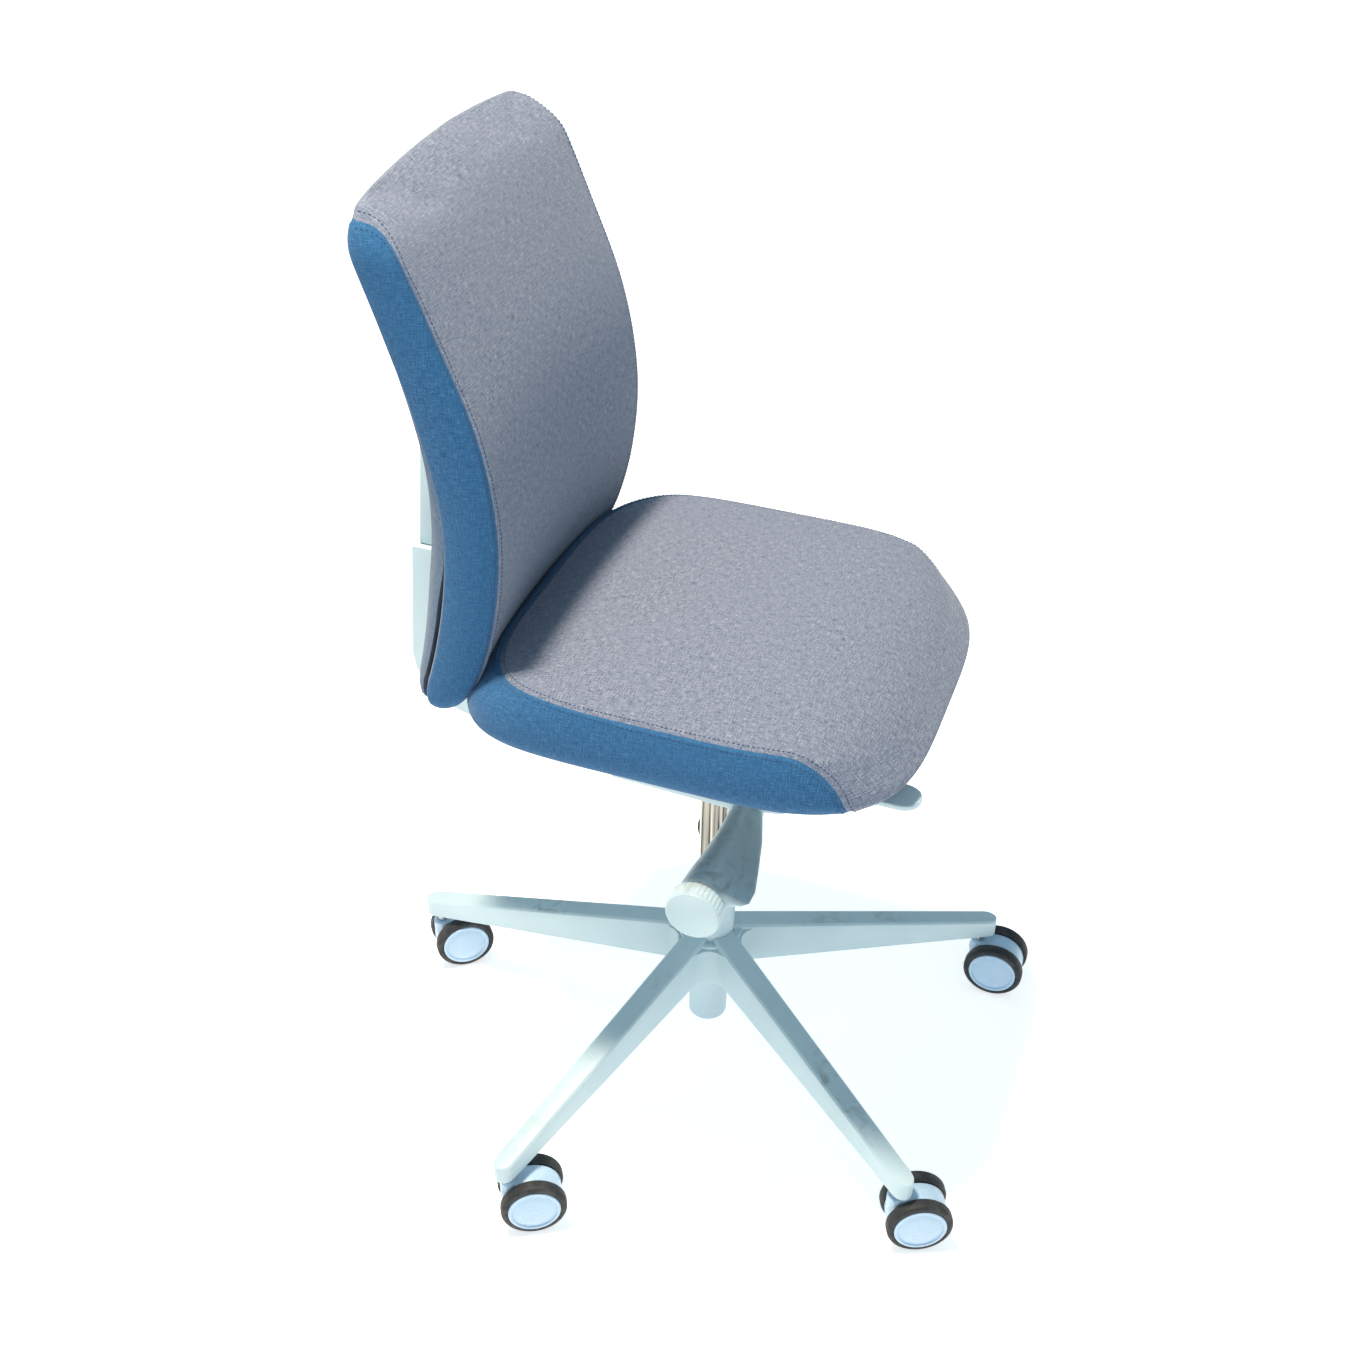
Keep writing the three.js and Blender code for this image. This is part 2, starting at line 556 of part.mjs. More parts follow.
/** A pad that curves forward at the waist, hollow across its front, with rounded corners. */
function backCushion() {
  const [bottomRadius, topRadius] = [24, 62];
  const heights = [0, 4, 14, 34].map((h) => BACK_BOTTOM + h)
    .concat([570, 630, 690, 750, 810, 865])
    .concat([70, 45, 24, 9, 2, 0].map((h) => BACK_TOP - h));
  return loft(heights.map((z) => {
    const nearTop = z > (BACK_BOTTOM + BACK_TOP) / 2;
    const radius = nearTop ? topRadius : bottomRadius;
    const edge = Math.min(radius, nearTop ? BACK_TOP - z : z - BACK_BOTTOM);
    const pull = radius - Math.sqrt(radius ** 2 - (radius - edge) ** 2);
    const thin = Math.min(pull * 0.32, 11);
    const [front, rear] = [padFront(z) + thin, padRear(z) - thin];
    const halfDepth = (rear - front) / 2;
    const hollowAt = (x) => Math.min(padHollow(z), halfDepth) * (1 - (x / BACK_HALF_WIDTH) ** 2);
    return roundedRing(BACK_HALF_WIDTH - pull, halfDepth, 4.2, 32).map(([x, y]) => new THREE.Vector3(
      x, (front + rear) / 2 + y + hollowAt(x) * Math.max(0, -y / halfDepth), z));
  }));
}

place('back_cushion', backCushion(), FINISH.mainFabric);

/** The domed panel on the back of the pad: as wide as the pad in front, narrower behind. */
function rearPanel() {
  const heights = [BACK_BOTTOM + 4, 510, 560, 620, 680, 740, 800, 850, 868];
  return loft(heights.map((z) => {
    const front = padRear(z) + 1;
    const depth = Math.max(3, panelRear(z) - front);
    const wide = BACK_HALF_WIDTH - 10 - (z === heights.at(-1) ? 12 : 0);
    const narrow = 104;
    return [[-wide, front], [wide, front], [wide - 3, front + Math.min(3, depth / 3)],
      [(wide + narrow) / 2, front + depth * 0.62], [narrow, front + depth * 0.92], [60, front + depth],
      [-60, front + depth], [-narrow, front + depth * 0.92], [-(wide + narrow) / 2, front + depth * 0.62],
      [3 - wide, front + Math.min(3, depth / 3)]].map(([x, y]) => new THREE.Vector3(x, y, z));
  }));
}

place('back_panel', rearPanel(), FINISH.sideFabric);

/** The slider behind the panel that the arm's upright carries. */
function backSlider() {
  const side = new THREE.Shape();
  const [low, high] = [540, 690];
  side.moveTo(panelRear(low) + GAP, low);
  side.lineTo(uprightFront(low) - GAP, low);
  side.lineTo(uprightFront(high) - GAP, high);
  side.lineTo(panelRear(high) + GAP, high);
  for (const z of [650, 620, 590, 560]) side.lineTo(panelRear(z) + GAP, z);
  return sidePrism(side, -36, 36);
}

place('back_slider', backSlider(), FINISH.black);

/** The J-shaped arm: level under the seat, then round and up behind the back. */
function backArm() {
  const lowBar = RECLINE_Z - 12;
  const side = new THREE.Shape();
  side.moveTo(RECLINE_Y, lowBar);
  side.lineTo(215, lowBar + 8);
  side.bezierCurveTo(262, lowBar + 10, 296, 424, 298, 464);
  side.lineTo(289, 588);
  side.lineTo(uprightFront(588), 588);
  side.lineTo(uprightFront(480), 480);
  side.bezierCurveTo(262, 448, 248, 430, 220, 428);
  side.lineTo(140, 416);
  side.lineTo(RECLINE_Y, RECLINE_Z + 12);
  side.absarc(RECLINE_Y, RECLINE_Z, 12, Math.PI / 2, 3 * Math.PI / 2, false);
  const bar = sidePrism(side, -UPRIGHT_HALF_WIDTH, UPRIGHT_HALF_WIDTH, 7);
  return cut(bar, pivotBore(RECLINE_Y, RECLINE_Z));
}

place('back_arm', backArm(), FINISH.white);

const BUTTON_POCKET_Y = 276;

/** The slimmer bar that stands up out of the arm and guides the slider. */
function backUpright() {
  const side = outlineShape([[uprightFront(588), 588 + GAP], [285, 588 + GAP], [276, 700], [272, 706],
    [uprightFront(706) + 2, 706], [uprightFront(700), 700]]);
  const bar = sidePrism(side, 6 - UPRIGHT_HALF_WIDTH, UPRIGHT_HALF_WIDTH - 6);
  return cut(bar, block(-17, 17, BUTTON_POCKET_Y, 310, 611, 633));
}

place('back_upright', backUpright(), FINISH.white);
place('back_height_button', block(-16, 16, BUTTON_POCKET_Y + 4, 288, 612, 632), FINISH.grey);

export default chair;
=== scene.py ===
"""Looks of a swivel task chair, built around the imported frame.

Each sub-assembly of the chair is a class with its sizes as fields and methods that model and
dress its pieces. All lengths are in metres, +Z is up and the sitter faces -Y.
"""

from __future__ import annotations

import json
import logging
import math
import sys
from contextlib import contextmanager
from dataclasses import dataclass, field
from enum import Enum
from typing import Callable, Iterator, Sequence

import bmesh
import bpy
from mathutils import Matrix, Vector
from mathutils.bvhtree import BVHTree

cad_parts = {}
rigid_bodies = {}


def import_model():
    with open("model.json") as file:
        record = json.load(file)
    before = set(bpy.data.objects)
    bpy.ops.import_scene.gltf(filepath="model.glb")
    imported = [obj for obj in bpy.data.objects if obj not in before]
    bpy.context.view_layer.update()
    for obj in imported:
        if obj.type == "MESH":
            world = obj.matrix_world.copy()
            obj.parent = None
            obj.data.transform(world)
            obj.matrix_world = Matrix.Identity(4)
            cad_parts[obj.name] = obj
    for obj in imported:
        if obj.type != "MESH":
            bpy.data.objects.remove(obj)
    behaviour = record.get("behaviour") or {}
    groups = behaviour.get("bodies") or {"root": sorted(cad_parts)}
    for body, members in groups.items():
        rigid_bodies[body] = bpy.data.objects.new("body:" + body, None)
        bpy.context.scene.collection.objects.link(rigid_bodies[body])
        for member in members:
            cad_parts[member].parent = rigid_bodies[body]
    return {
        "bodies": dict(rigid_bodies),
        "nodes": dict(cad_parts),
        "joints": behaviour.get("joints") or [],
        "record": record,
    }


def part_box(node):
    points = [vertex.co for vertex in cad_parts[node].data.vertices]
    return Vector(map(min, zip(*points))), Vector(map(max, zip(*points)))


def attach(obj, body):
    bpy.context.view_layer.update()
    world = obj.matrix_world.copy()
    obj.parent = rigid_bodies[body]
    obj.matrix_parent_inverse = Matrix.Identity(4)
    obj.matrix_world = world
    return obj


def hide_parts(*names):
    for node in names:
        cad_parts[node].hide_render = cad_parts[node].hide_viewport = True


LOG = logging.getLogger("chair")
Object = bpy.types.Object
Material = bpy.types.Material
Socket = bpy.types.NodeSocket
Pair = tuple[float, float]
Colour = tuple[float, float, float]


# ---------------------------------------------------------------- modelling tools


def select_only(obj: Object) -> None:
    """Makes obj the one selected and active object."""
    bpy.ops.object.select_all(action="DESELECT")
    obj.select_set(True)
    bpy.context.view_layer.objects.active = obj


@contextmanager
def editing(obj: Object) -> Iterator[bmesh.types.BMesh]:
    """Opens obj in edit mode with everything selected.

    Args:
        obj: The mesh object to edit.

    Returns:
        The edit mesh, for choosing faces and edges by place.
    """
    select_only(obj)
    bpy.ops.object.mode_set(mode="EDIT")
    bpy.ops.mesh.select_all(action="SELECT")
    yield bmesh.from_edit_mesh(obj.data)
    bpy.ops.object.mode_set(mode="OBJECT")


def select_points(mesh: bmesh.types.BMesh, first: int, end: int) -> None:
    """Selects the vertices from index first up to end, and nothing else."""
    mesh.verts.ensure_lookup_table()
    for vert in mesh.verts:
        vert.select = first <= vert.index < end
    mesh.select_flush(True)
    mesh.select_flush(False)


def new_object(name: str, points: Sequence[Vector], edges: Sequence[tuple[int, int]] = (),
               faces: Sequence[Sequence[int]] = ()) -> Object:
    """Links a mesh object made of the given points, edges and faces.

    Args:
        name: The piece's name.
        points: Vertex places.
        edges: Pairs of vertex indices.
        faces: Rings of vertex indices.

    Returns:
        The new object, at the origin.
    """
    mesh = bpy.data.meshes.new(name)
    mesh.from_pydata([tuple(p) for p in points], list(edges), [list(f) for f in faces])
    obj = bpy.data.objects.new(name, mesh)
    bpy.context.scene.collection.objects.link(obj)
    return obj


def tidy_normals(obj: Object, merge: float = 1e-6) -> None:
    """Merges doubles and turns all faces outwards.

    Args:
        obj: The mesh object.
        merge: Vertices closer than this become one.
    """
    with editing(obj):
        bpy.ops.mesh.remove_doubles(threshold=merge)
        bpy.ops.mesh.normals_make_consistent(inside=False)


def smooth(obj: Object, angle: float = 35.0) -> Object:
    """Shades obj smooth, but for edges sharper than angle in degrees."""
    select_only(obj)
    bpy.ops.object.shade_smooth_by_angle(angle=math.radians(angle))
    return obj


def apply_modifiers(obj: Object) -> None:
    """Applies every modifier of obj, in order."""
    select_only(obj)
    for modifier in list(obj.modifiers):
        bpy.ops.object.modifier_apply(modifier=modifier.name)


def round_edges(obj: Object, width: float, segments: int = 2, angle: float = 30.0) -> Object:
    """Bevels the edges of obj that are sharper than an angle.

    Args:
        obj: The mesh object.
        width: Bevel width.
        segments: Facets across the bevel.
        angle: Sharper edges than this, in degrees, are bevelled.

    Returns:
        The same object, with the bevel applied.
    """
    bevel = obj.modifiers.new("rounding", "BEVEL")
    bevel.width = width
    bevel.segments = segments
    bevel.limit_method = "ANGLE"
    bevel.angle_limit = math.radians(angle)
    bevel.use_clamp_overlap = True
    bevel.harden_normals = False
    apply_modifiers(obj)
    return smooth(obj)


def spun(name: str, outline: Sequence[Pair], steps: int = 64) -> Object:
    """Turns an outline of (radius, height) points about the Z axis into a closed solid.

    Args:
        name: The piece's name.
        outline: Points from one end of the outline to the other, or a closed loop.
        steps: Facets round the axis.

    Returns:
        The turned object, about the Z axis at the origin.
    """
    points = [Vector((r, 0.0, z)) for r, z in outline]
    obj = new_object(name, points, [(i, i + 1) for i in range(len(points) - 1)])
    with editing(obj):
        bpy.ops.mesh.spin(steps=steps, angle=2 * math.pi, center=(0, 0, 0), axis=(0, 0, 1))
    tidy_normals(obj, 1e-5)
    return smooth(obj, 28)


def extruded(name: str, outline: Sequence[Pair], low: float, high: float) -> Object:
    """Extrudes a plan outline upwards from low to high.

    Args:
        name: The piece's name.
        outline: (x, y) points round the plan.
        low: Height of the underside.
        high: Height of the top.

    Returns:
        The extruded object.
    """
    points = [Vector((x, y, low)) for x, y in outline]
    obj = new_object(name, points, faces=[range(len(points))])
    with editing(obj):
        bpy.ops.mesh.extrude_region_move(TRANSFORM_OT_translate={"value": (0, 0, high - low)})
    tidy_normals(obj)
    return obj


def bridged(name: str, rings: Sequence[Sequence[Vector]], close_ends: bool = True) -> Object:
    """Skins a row of rings by bridging each to the next.

    Args:
        name: The piece's name.
        rings: Rings with the same number of points, in order.
        close_ends: Whether the first and last ring get a face.

    Returns:
        The skinned object.
    """
    count = len(rings[0])
    points = [p for ring in rings for p in ring]
    edges = [(r * count + i, r * count + (i + 1) % count) for r in range(len(rings)) for i in range(count)]
    obj = new_object(name, points, edges)
    with editing(obj) as mesh:
        for level in range(len(rings) - 1):
            select_points(mesh, level * count, (level + 2) * count)
            bpy.ops.mesh.bridge_edge_loops()
        if close_ends:
            for level in (0, len(rings) - 1):
                select_points(mesh, level * count, (level + 1) * count)
                bpy.ops.mesh.edge_face_add()
    tidy_normals(obj)
    return obj


def joined(name: str, pieces: Sequence[Object]) -> Object:
    """Joins objects into one, called name."""
    select_only(pieces[0])
    for piece in pieces[1:]:
        piece.select_set(True)
    bpy.ops.object.join()
    pieces[0].name = name
    pieces[0].data.name = name
    return pieces[0]


def copy_at(source: Object, name: str, matrix: Matrix) -> Object:
    """A copy of source with its own mesh, moved by matrix within the mesh."""
    copy = source.copy()
    copy.data = source.data.copy()
    copy.name = name
    copy.data.transform(matrix)
    bpy.context.scene.collection.objects.link(copy)
    return copy


def refined_copy(nodes: dict[str, Object], node: str, rounding: float, segments: int = 2) -> Object:
    """A merged copy of a frame node with clean flat faces and rounded edges.

    Args:
        nodes: The frame's nodes by name.
        node: The node to copy.
        rounding: Bevel width.
        segments: Facets across the bevel.

    Returns:
        The refined object.
    """
    copy = copy_at(nodes[node], f"{node}_surface", Matrix.Identity(4))
    copy.parent = None
    for key in [k for k in copy.keys() if k.startswith("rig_")]:
        del copy[key]
    copy.data.materials.clear()
    with editing(copy):
        bpy.ops.mesh.remove_doubles(threshold=2e-6)
        bpy.ops.mesh.customdata_custom_splitnormals_clear()
        bpy.ops.mesh.dissolve_limited(angle_limit=math.radians(0.6))
    return round_edges(copy, rounding, segments)


def stand_along_x(obj: Object, place: Sequence[float]) -> None:
    """Turns a piece from the Z axis to the +X axis and moves it to place, within its mesh."""
    obj.data.transform(Matrix.Translation(tuple(place)) @ Matrix.Rotation(math.pi / 2, 4, "Y"))


def remove(*objects: Object) -> None:
    """Deletes pattern objects that were only there to be copied."""
    for obj in objects:
        bpy.data.objects.remove(obj, do_unlink=True)


def arc(centre: Pair, radius: float, start: float, end: float, steps: int) -> list[Pair]:
    """Points on an arc, with angles in degrees, ends included."""
    angles = [math.radians(start + (end - start) * i / steps) for i in range(steps + 1)]
    return [(centre[0] + radius * math.cos(a), centre[1] + radius * math.sin(a)) for a in angles]


# ---------------------------------------------------------------- finishes


class NodeSheet:
    """A small writer of shader nodes for one material."""

    def __init__(self, name: str) -> None:
        """Starts a material called name with one Principled shader."""
        self.material = bpy.data.materials.new(name)
        self.material.use_nodes = True
        self.tree = self.material.node_tree
        self.shader = self.tree.nodes["Principled BSDF"]

    def node(self, kind: str, **settings: object) -> bpy.types.Node:
        """Adds a shader node of a kind and sets its properties and named inputs.

        Args:
            kind: The node's type without its ShaderNode prefix.
            settings: Properties, or inputs by name with spaces as underscores.

        Returns:
            The new node.
        """
        node = self.tree.nodes.new(f"ShaderNode{kind}")
        for key, value in settings.items():
            if hasattr(node, key):
                setattr(node, key, value)
            else:
                self.feed(node.inputs[key.replace("_", " ")], value)
        return node

    def feed(self, socket: Socket, value: object) -> None:
        """Links value to socket if it is a socket, or sets it as the default."""
        if isinstance(value, Socket):
            self.tree.links.new(value, socket)
        else:
            socket.default_value = value

    def mix(self, factor: object, first: object, second: object, blend: str = "MIX") -> Socket:
        """A colour mix of first and second."""
        node = self.node("Mix", data_type="RGBA", blend_type=blend)
        for index, value in ((0, factor), (6, first), (7, second)):
            self.feed(node.inputs[index], value)
        return node.outputs[2]

    def maths(self, operation: str, first: object, second: object = 0.0) -> Socket:
        """The result of a maths operation on two values."""
        node = self.node("Math", operation=operation)
        self.feed(node.inputs[0], first)
        self.feed(node.inputs[1], second)
        return node.outputs[0]

    def ramp(self, value: Socket, low: float, high: float,
             out_low: float = 0.0, out_high: float = 1.0) -> Socket:
        """Value stretched from low..high to out_low..out_high and clamped."""
        node = self.node("MapRange", From_Min=low, From_Max=high, To_Min=out_low, To_Max=out_high)
        self.feed(node.inputs["Value"], value)
        return node.outputs["Result"]

    def noise(self, scale: float, detail: float, vector: Socket,
              distortion: float = 0.0) -> Socket:
        """A noise value over vector."""
        node = self.node("TexNoise", Scale=scale, Detail=detail, Vector=vector, Distortion=distortion)
        return node.outputs["Fac"]

    def object_place(self) -> Socket:
        """The point's place in the chair, in metres."""
        return self.node("TexCoord").outputs["Object"]

    def bump(self, height: Socket, distance: float, strength: float = 1.0) -> None:
        """Feeds the shader's normal with a bump of height."""
        node = self.node("Bump", Strength=strength, Distance=distance, Height=height)
        self.feed(self.shader.inputs["Normal"], node.outputs["Normal"])


def rgba(colour: Colour, gain: float = 1.0) -> tuple[float, float, float, float]:
    """A colour with its brightness scaled, as a socket takes it."""
    return (colour[0] * gain, colour[1] * gain, colour[2] * gain, 1.0)


@dataclass(frozen=True)
class MouldedPlastic:
    """Moulded plastic with a fine grain, faint mottling and scuffs on its upper faces."""

    name: str
    colour: Colour
    roughness: float
    grain: float = 0.00003
    scuffs: float = 0.0

    def build(self) -> Material:
        """Makes the material."""
        sheet = NodeSheet(self.name)
        place = sheet.object_place()
        mottle = sheet.noise(14.0, 4.0, place)
        colour = sheet.mix(sheet.ramp(mottle, 0.35, 0.7), rgba(self.colour, 0.955), rgba(self.colour, 1.03))
        rough = sheet.ramp(sheet.noise(90.0, 3.0, place), 0.3, 0.75,
                           self.roughness - 0.05, self.roughness + 0.07)
        if self.scuffs:
            streak = sheet.noise(55.0, 8.0, place, 1.4)
            normal = sheet.node("NewGeometry").outputs["Normal"]
            upward = sheet.node("SeparateXYZ", Vector=normal).outputs["Z"]
            patches = sheet.maths("MULTIPLY", sheet.ramp(sheet.noise(9.0, 5.0, place), 0.48, 0.68),
                                  sheet.ramp(upward, 0.5, 0.95))
            marks = sheet.maths("MULTIPLY", sheet.ramp(streak, 0.5, 0.63, 0.0, self.scuffs), patches)
            grime: Colour = (self.colour[0] * 0.62, self.colour[1] * 0.57, self.colour[2] * 0.5)
            colour = sheet.mix(marks, colour, rgba(grime))
            rough = sheet.maths("ADD", rough, sheet.maths("MULTIPLY", marks, 0.25))
        sheet.feed(sheet.shader.inputs["Base Color"], colour)
        sheet.feed(sheet.shader.inputs["Roughness"], rough)
        sheet.bump(sheet.noise(1400.0, 2.0, place), self.grain)
        return sheet.material


@dataclass(frozen=True)
class Metal:
    """Polished or plated metal with fine marks drawn along one axis; on the chrome they are dark painted reflection
    bands.
    """

    name: str
    colour: Colour
    roughness: float
    stretch: tuple[float, float, float] = (60.0, 60.0, 3.0)
    darkest: float = 0.9

    def build(self) -> Material:
        """Makes the material."""
        sheet = NodeSheet(self.name)
        drawn = sheet.node("Mapping", Vector=sheet.object_place(), Scale=self.stretch).outputs["Vector"]
        # Drawn marks darken the colour down to darkest: fine real marks on the steel, painted reflection bands on the
        # chrome.
        marks = sheet.noise(9.0, 6.0, drawn)
        sheet.feed(sheet.shader.inputs["Base Color"],
                   sheet.mix(sheet.ramp(marks, 0.35, 0.7), rgba(self.colour, self.darkest),
                             rgba(self.colour, 1.05)))
        sheet.feed(sheet.shader.inputs["Roughness"],
                   sheet.ramp(marks, 0.3, 0.75, self.roughness * 0.8, self.roughness * 1.3))
        sheet.shader.inputs["Metallic"].default_value = 1.0
        sheet.bump(marks, 0.00001)
        return sheet.material


@dataclass(frozen=True)
class SoftTread:
    """Matt rubber of the caster tyres, with dust in its pores."""

    name: str
    colour: Colour

    def build(self) -> Material:
        """Makes the material."""
        sheet = NodeSheet(self.name)
        place = sheet.object_place()
        dust = sheet.ramp(sheet.noise(60.0, 6.0, place), 0.5, 0.75, 0.0, 0.5)
        sheet.feed(sheet.shader.inputs["Base Color"],
                   sheet.mix(dust, rgba(self.colour), (0.12, 0.115, 0.11, 1.0)))
        sheet.feed(sheet.shader.inputs["Roughness"],
                   sheet.ramp(sheet.noise(200.0, 3.0, place), 0.3, 0.7, 0.55, 0.75))
        sheet.bump(sheet.noise(900.0, 3.0, place), 0.00005)
        return sheet.material


@dataclass(frozen=True)
class Yarn:
    """The three shades that a heathered yarn is spun from."""

    middle: Colour
    light: Colour
    dark: Colour


@dataclass(frozen=True)
class HeatheredCloth:
    """A plain weave of heathered yarns, with a second yarn where the side attribute is positive."""

    name: str
    main: Yarn
    side: Yarn
    yarn_width: float = 0.0011

    def _weave(self, sheet: NodeSheet) -> tuple[Socket, Socket, Socket]:
        """Yarn coordinates, the over-and-under mask and the height of the cloth."""
        across = sheet.node("UVMap", uv_map="weave").outputs["UV"]
        yarns = sheet.node("Mapping", Vector=across, Scale=(1 / self.yarn_width,) * 3).outputs["Vector"]
        over = sheet.node("TexChecker", Vector=yarns, Scale=1.0).outputs["Fac"]
        split = sheet.node("SeparateXYZ", Vector=yarns)
        turns = [sheet.maths("MULTIPLY", split.outputs[axis], math.pi) for axis in ("X", "Y")]
        crowns = [sheet.maths("ABSOLUTE", sheet.maths("SINE", turn)) for turn in turns]
        height = sheet.maths("MULTIPLY", crowns[0], crowns[1])
        return yarns, over, height

    def _yarn_colour(self, sheet: NodeSheet, yarn: Yarn, fleck: Socket,
                     cloud: Socket) -> Socket:
        """Colour of one yarn with its light and dark flecks."""
        dark = sheet.mix(sheet.ramp(fleck, 0.50, 0.32), rgba(yarn.middle), rgba(yarn.dark))
        flecked = sheet.mix(sheet.ramp(fleck, 0.54, 0.72), dark, rgba(yarn.light))
        return sheet.mix(sheet.ramp(cloud, 0.3, 0.7, 0.0, 0.35), flecked, rgba(yarn.middle))

    def build(self) -> Material:
        """Makes the material."""
        sheet = NodeSheet(self.name)
        yarns, over, height = self._weave(sheet)
        fleck_mix = sheet.node("Mix", data_type="FLOAT")
        sheet.feed(fleck_mix.inputs[0], over)
        for index, stretch in ((2, (1.0, 0.16, 1.0)), (3, (0.16, 1.0, 1.0))):
            drawn = sheet.node("Mapping", Vector=yarns, Scale=stretch).outputs["Vector"]
            sheet.feed(fleck_mix.inputs[index], sheet.noise(0.9, 3.0, drawn))
        fleck = fleck_mix.outputs[0]
        cloud = sheet.noise(9.0, 3.0, sheet.object_place())
        main = self._yarn_colour(sheet, self.main, fleck, cloud)
        side = self._yarn_colour(sheet, self.side, fleck, cloud)
        edge = sheet.node("Attribute", attribute_name="side").outputs["Fac"]
        colour = sheet.mix(sheet.ramp(edge, -0.0004, 0.0004), main, side)
        # Painted shade: the cloth's colour is darkened in the valleys between the yarn crowns.
        shade = sheet.mix(sheet.ramp(height, 0.0, 0.6), (0.72, 0.72, 0.74, 1.0), (1.0, 1.0, 1.0, 1.0))
        sheet.feed(sheet.shader.inputs["Base Color"], sheet.mix(1.0, colour, shade, "MULTIPLY"))
        for name, value in (("Roughness", 0.92), ("Sheen Weight", 0.18), ("Sheen Roughness", 0.45),
                            ("Specular IOR Level", 0.2)):
            sheet.shader.inputs[name].default_value = value
        sheet.bump(height, 0.00022, 0.8)
        return sheet.material


class Finish(Enum):
    """The finishes on the chair, each with a name as its value."""

    WHITE = "white_plastic"
    WHITE_METAL = "white_metal"
    CASTER = "caster_plastic"
    TYRE = "tyre"
    STEEL = "steel"
    CHROME = "chrome"
    BLACK = "black_plastic"
    GREY = "grey_plastic"
    MAIN_CLOTH = "main_fabric"
    SIDE_CLOTH = "side_fabric"
    THREAD = "thread"


MAIN_YARN = Yarn(middle=(0.235, 0.265, 0.345), light=(0.50, 0.52, 0.57), dark=(0.070, 0.095, 0.160))
SIDE_YARN = Yarn(middle=(0.036, 0.145, 0.31), light=(0.095, 0.24, 0.43), dark=(0.014, 0.075, 0.185))
SLATE_YARN = Yarn(middle=(0.13, 0.19, 0.28), light=(0.24, 0.30, 0.38), dark=(0.06, 0.10, 0.18))
RECIPES = {
    Finish.WHITE: MouldedPlastic("white plastic", (0.55, 0.68, 0.72), 0.42, scuffs=0.8),
    Finish.WHITE_METAL: MouldedPlastic("white powder coat", (0.55, 0.68, 0.73), 0.36, grain=0.00005),
    Finish.CASTER: MouldedPlastic("caster plastic", (0.50, 0.66, 0.82), 0.28, grain=0.00001),
    Finish.TYRE: SoftTread("tyre rubber", (0.018, 0.019, 0.021)),
    Finish.STEEL: Metal("plated steel", (0.55, 0.56, 0.58), 0.34),
    # Chrome: long dark bands round the cylinder are painted reflections, drawn into its colour.
    Finish.CHROME: Metal("polished chrome", (0.62, 0.60, 0.55), 0.09, (34.0, 34.0, 0.4), 0.10),
    Finish.BLACK: MouldedPlastic("black plastic", (0.018, 0.018, 0.02), 0.55, grain=0.00006),
    Finish.GREY: MouldedPlastic("grey plastic", (0.36, 0.40, 0.41), 0.45),
    Finish.MAIN_CLOTH: HeatheredCloth("blue-grey cloth", MAIN_YARN, SIDE_YARN),
    Finish.SIDE_CLOTH: HeatheredCloth("slate cloth", SLATE_YARN, SIDE_YARN),
    Finish.THREAD: MouldedPlastic("sewing thread", (0.030, 0.075, 0.16), 0.7),
}


class Wardrobe:
    """Hands out each finish's material, made once."""

    def __init__(self) -> None:
        """Starts with nothing made."""
        self._made: dict[Finish, Material] = {}

    def material(self, finish: Finish) -> Material:
        """The material of a finish."""
        if finish not in self._made:
            self._made[finish] = RECIPES[finish].build()
        return self._made[finish]

    def dress(self, obj: Object, finish: Finish) -> None:
        """Gives obj one finish all over."""
        obj.data.materials.clear()
        obj.data.materials.append(self.material(finish))


@dataclass
class Workshop:
    """What every sub-assembly needs: the frame, the finishes and a way to fit a piece."""

    frame: dict
    wardrobe: Wardrobe = field(default_factory=Wardrobe)

    @property
    def nodes(self) -> dict[str, Object]:
        """The frame's nodes by name."""
        return self.frame["nodes"]

    def joint(self, name: str) -> dict:
        """The joint called name."""
        return next(j for j in self.frame["joints"] if j["name"] == name)

    def middle(self, node: str) -> Vector:
        """The middle of a node's box."""
        low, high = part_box(node)
        return (low + high) / 2

    def fit(self, obj: Object, body: str, finish: Finish, *replaced: str) -> None:
        """Dresses a piece, lets it ride and hides the nodes that it stands for.

        Args:
            obj: The finished piece.
            body: The body that it rides on.
            finish: Its finish.
            replaced: Nodes that it stands for.
        """
        self.wardrobe.dress(obj, finish)
        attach(obj, body)
        if replaced:
            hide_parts(*replaced)
        LOG.info("%s: %d faces on %s", obj.name, len(obj.data.polygons), body)

    def refine(self, node: str, body: str, finish: Finish, rounding: float, segments: int = 2) -> None:
        """Fits a refined copy of a frame node in the node's own place."""
        self.fit(refined_copy(self.nodes, node, rounding, segments), body, finish, node)


# ---------------------------------------------------------------- base and lift


@dataclass
class StarBase:
    """The five-arm base."""

    rounding: float = 0.0022

    def build(self, shop: Workshop) -> None:
        """Models the base with softly rounded arms."""
        shop.refine("star_base", "base", Finish.WHITE, self.rounding, 3)


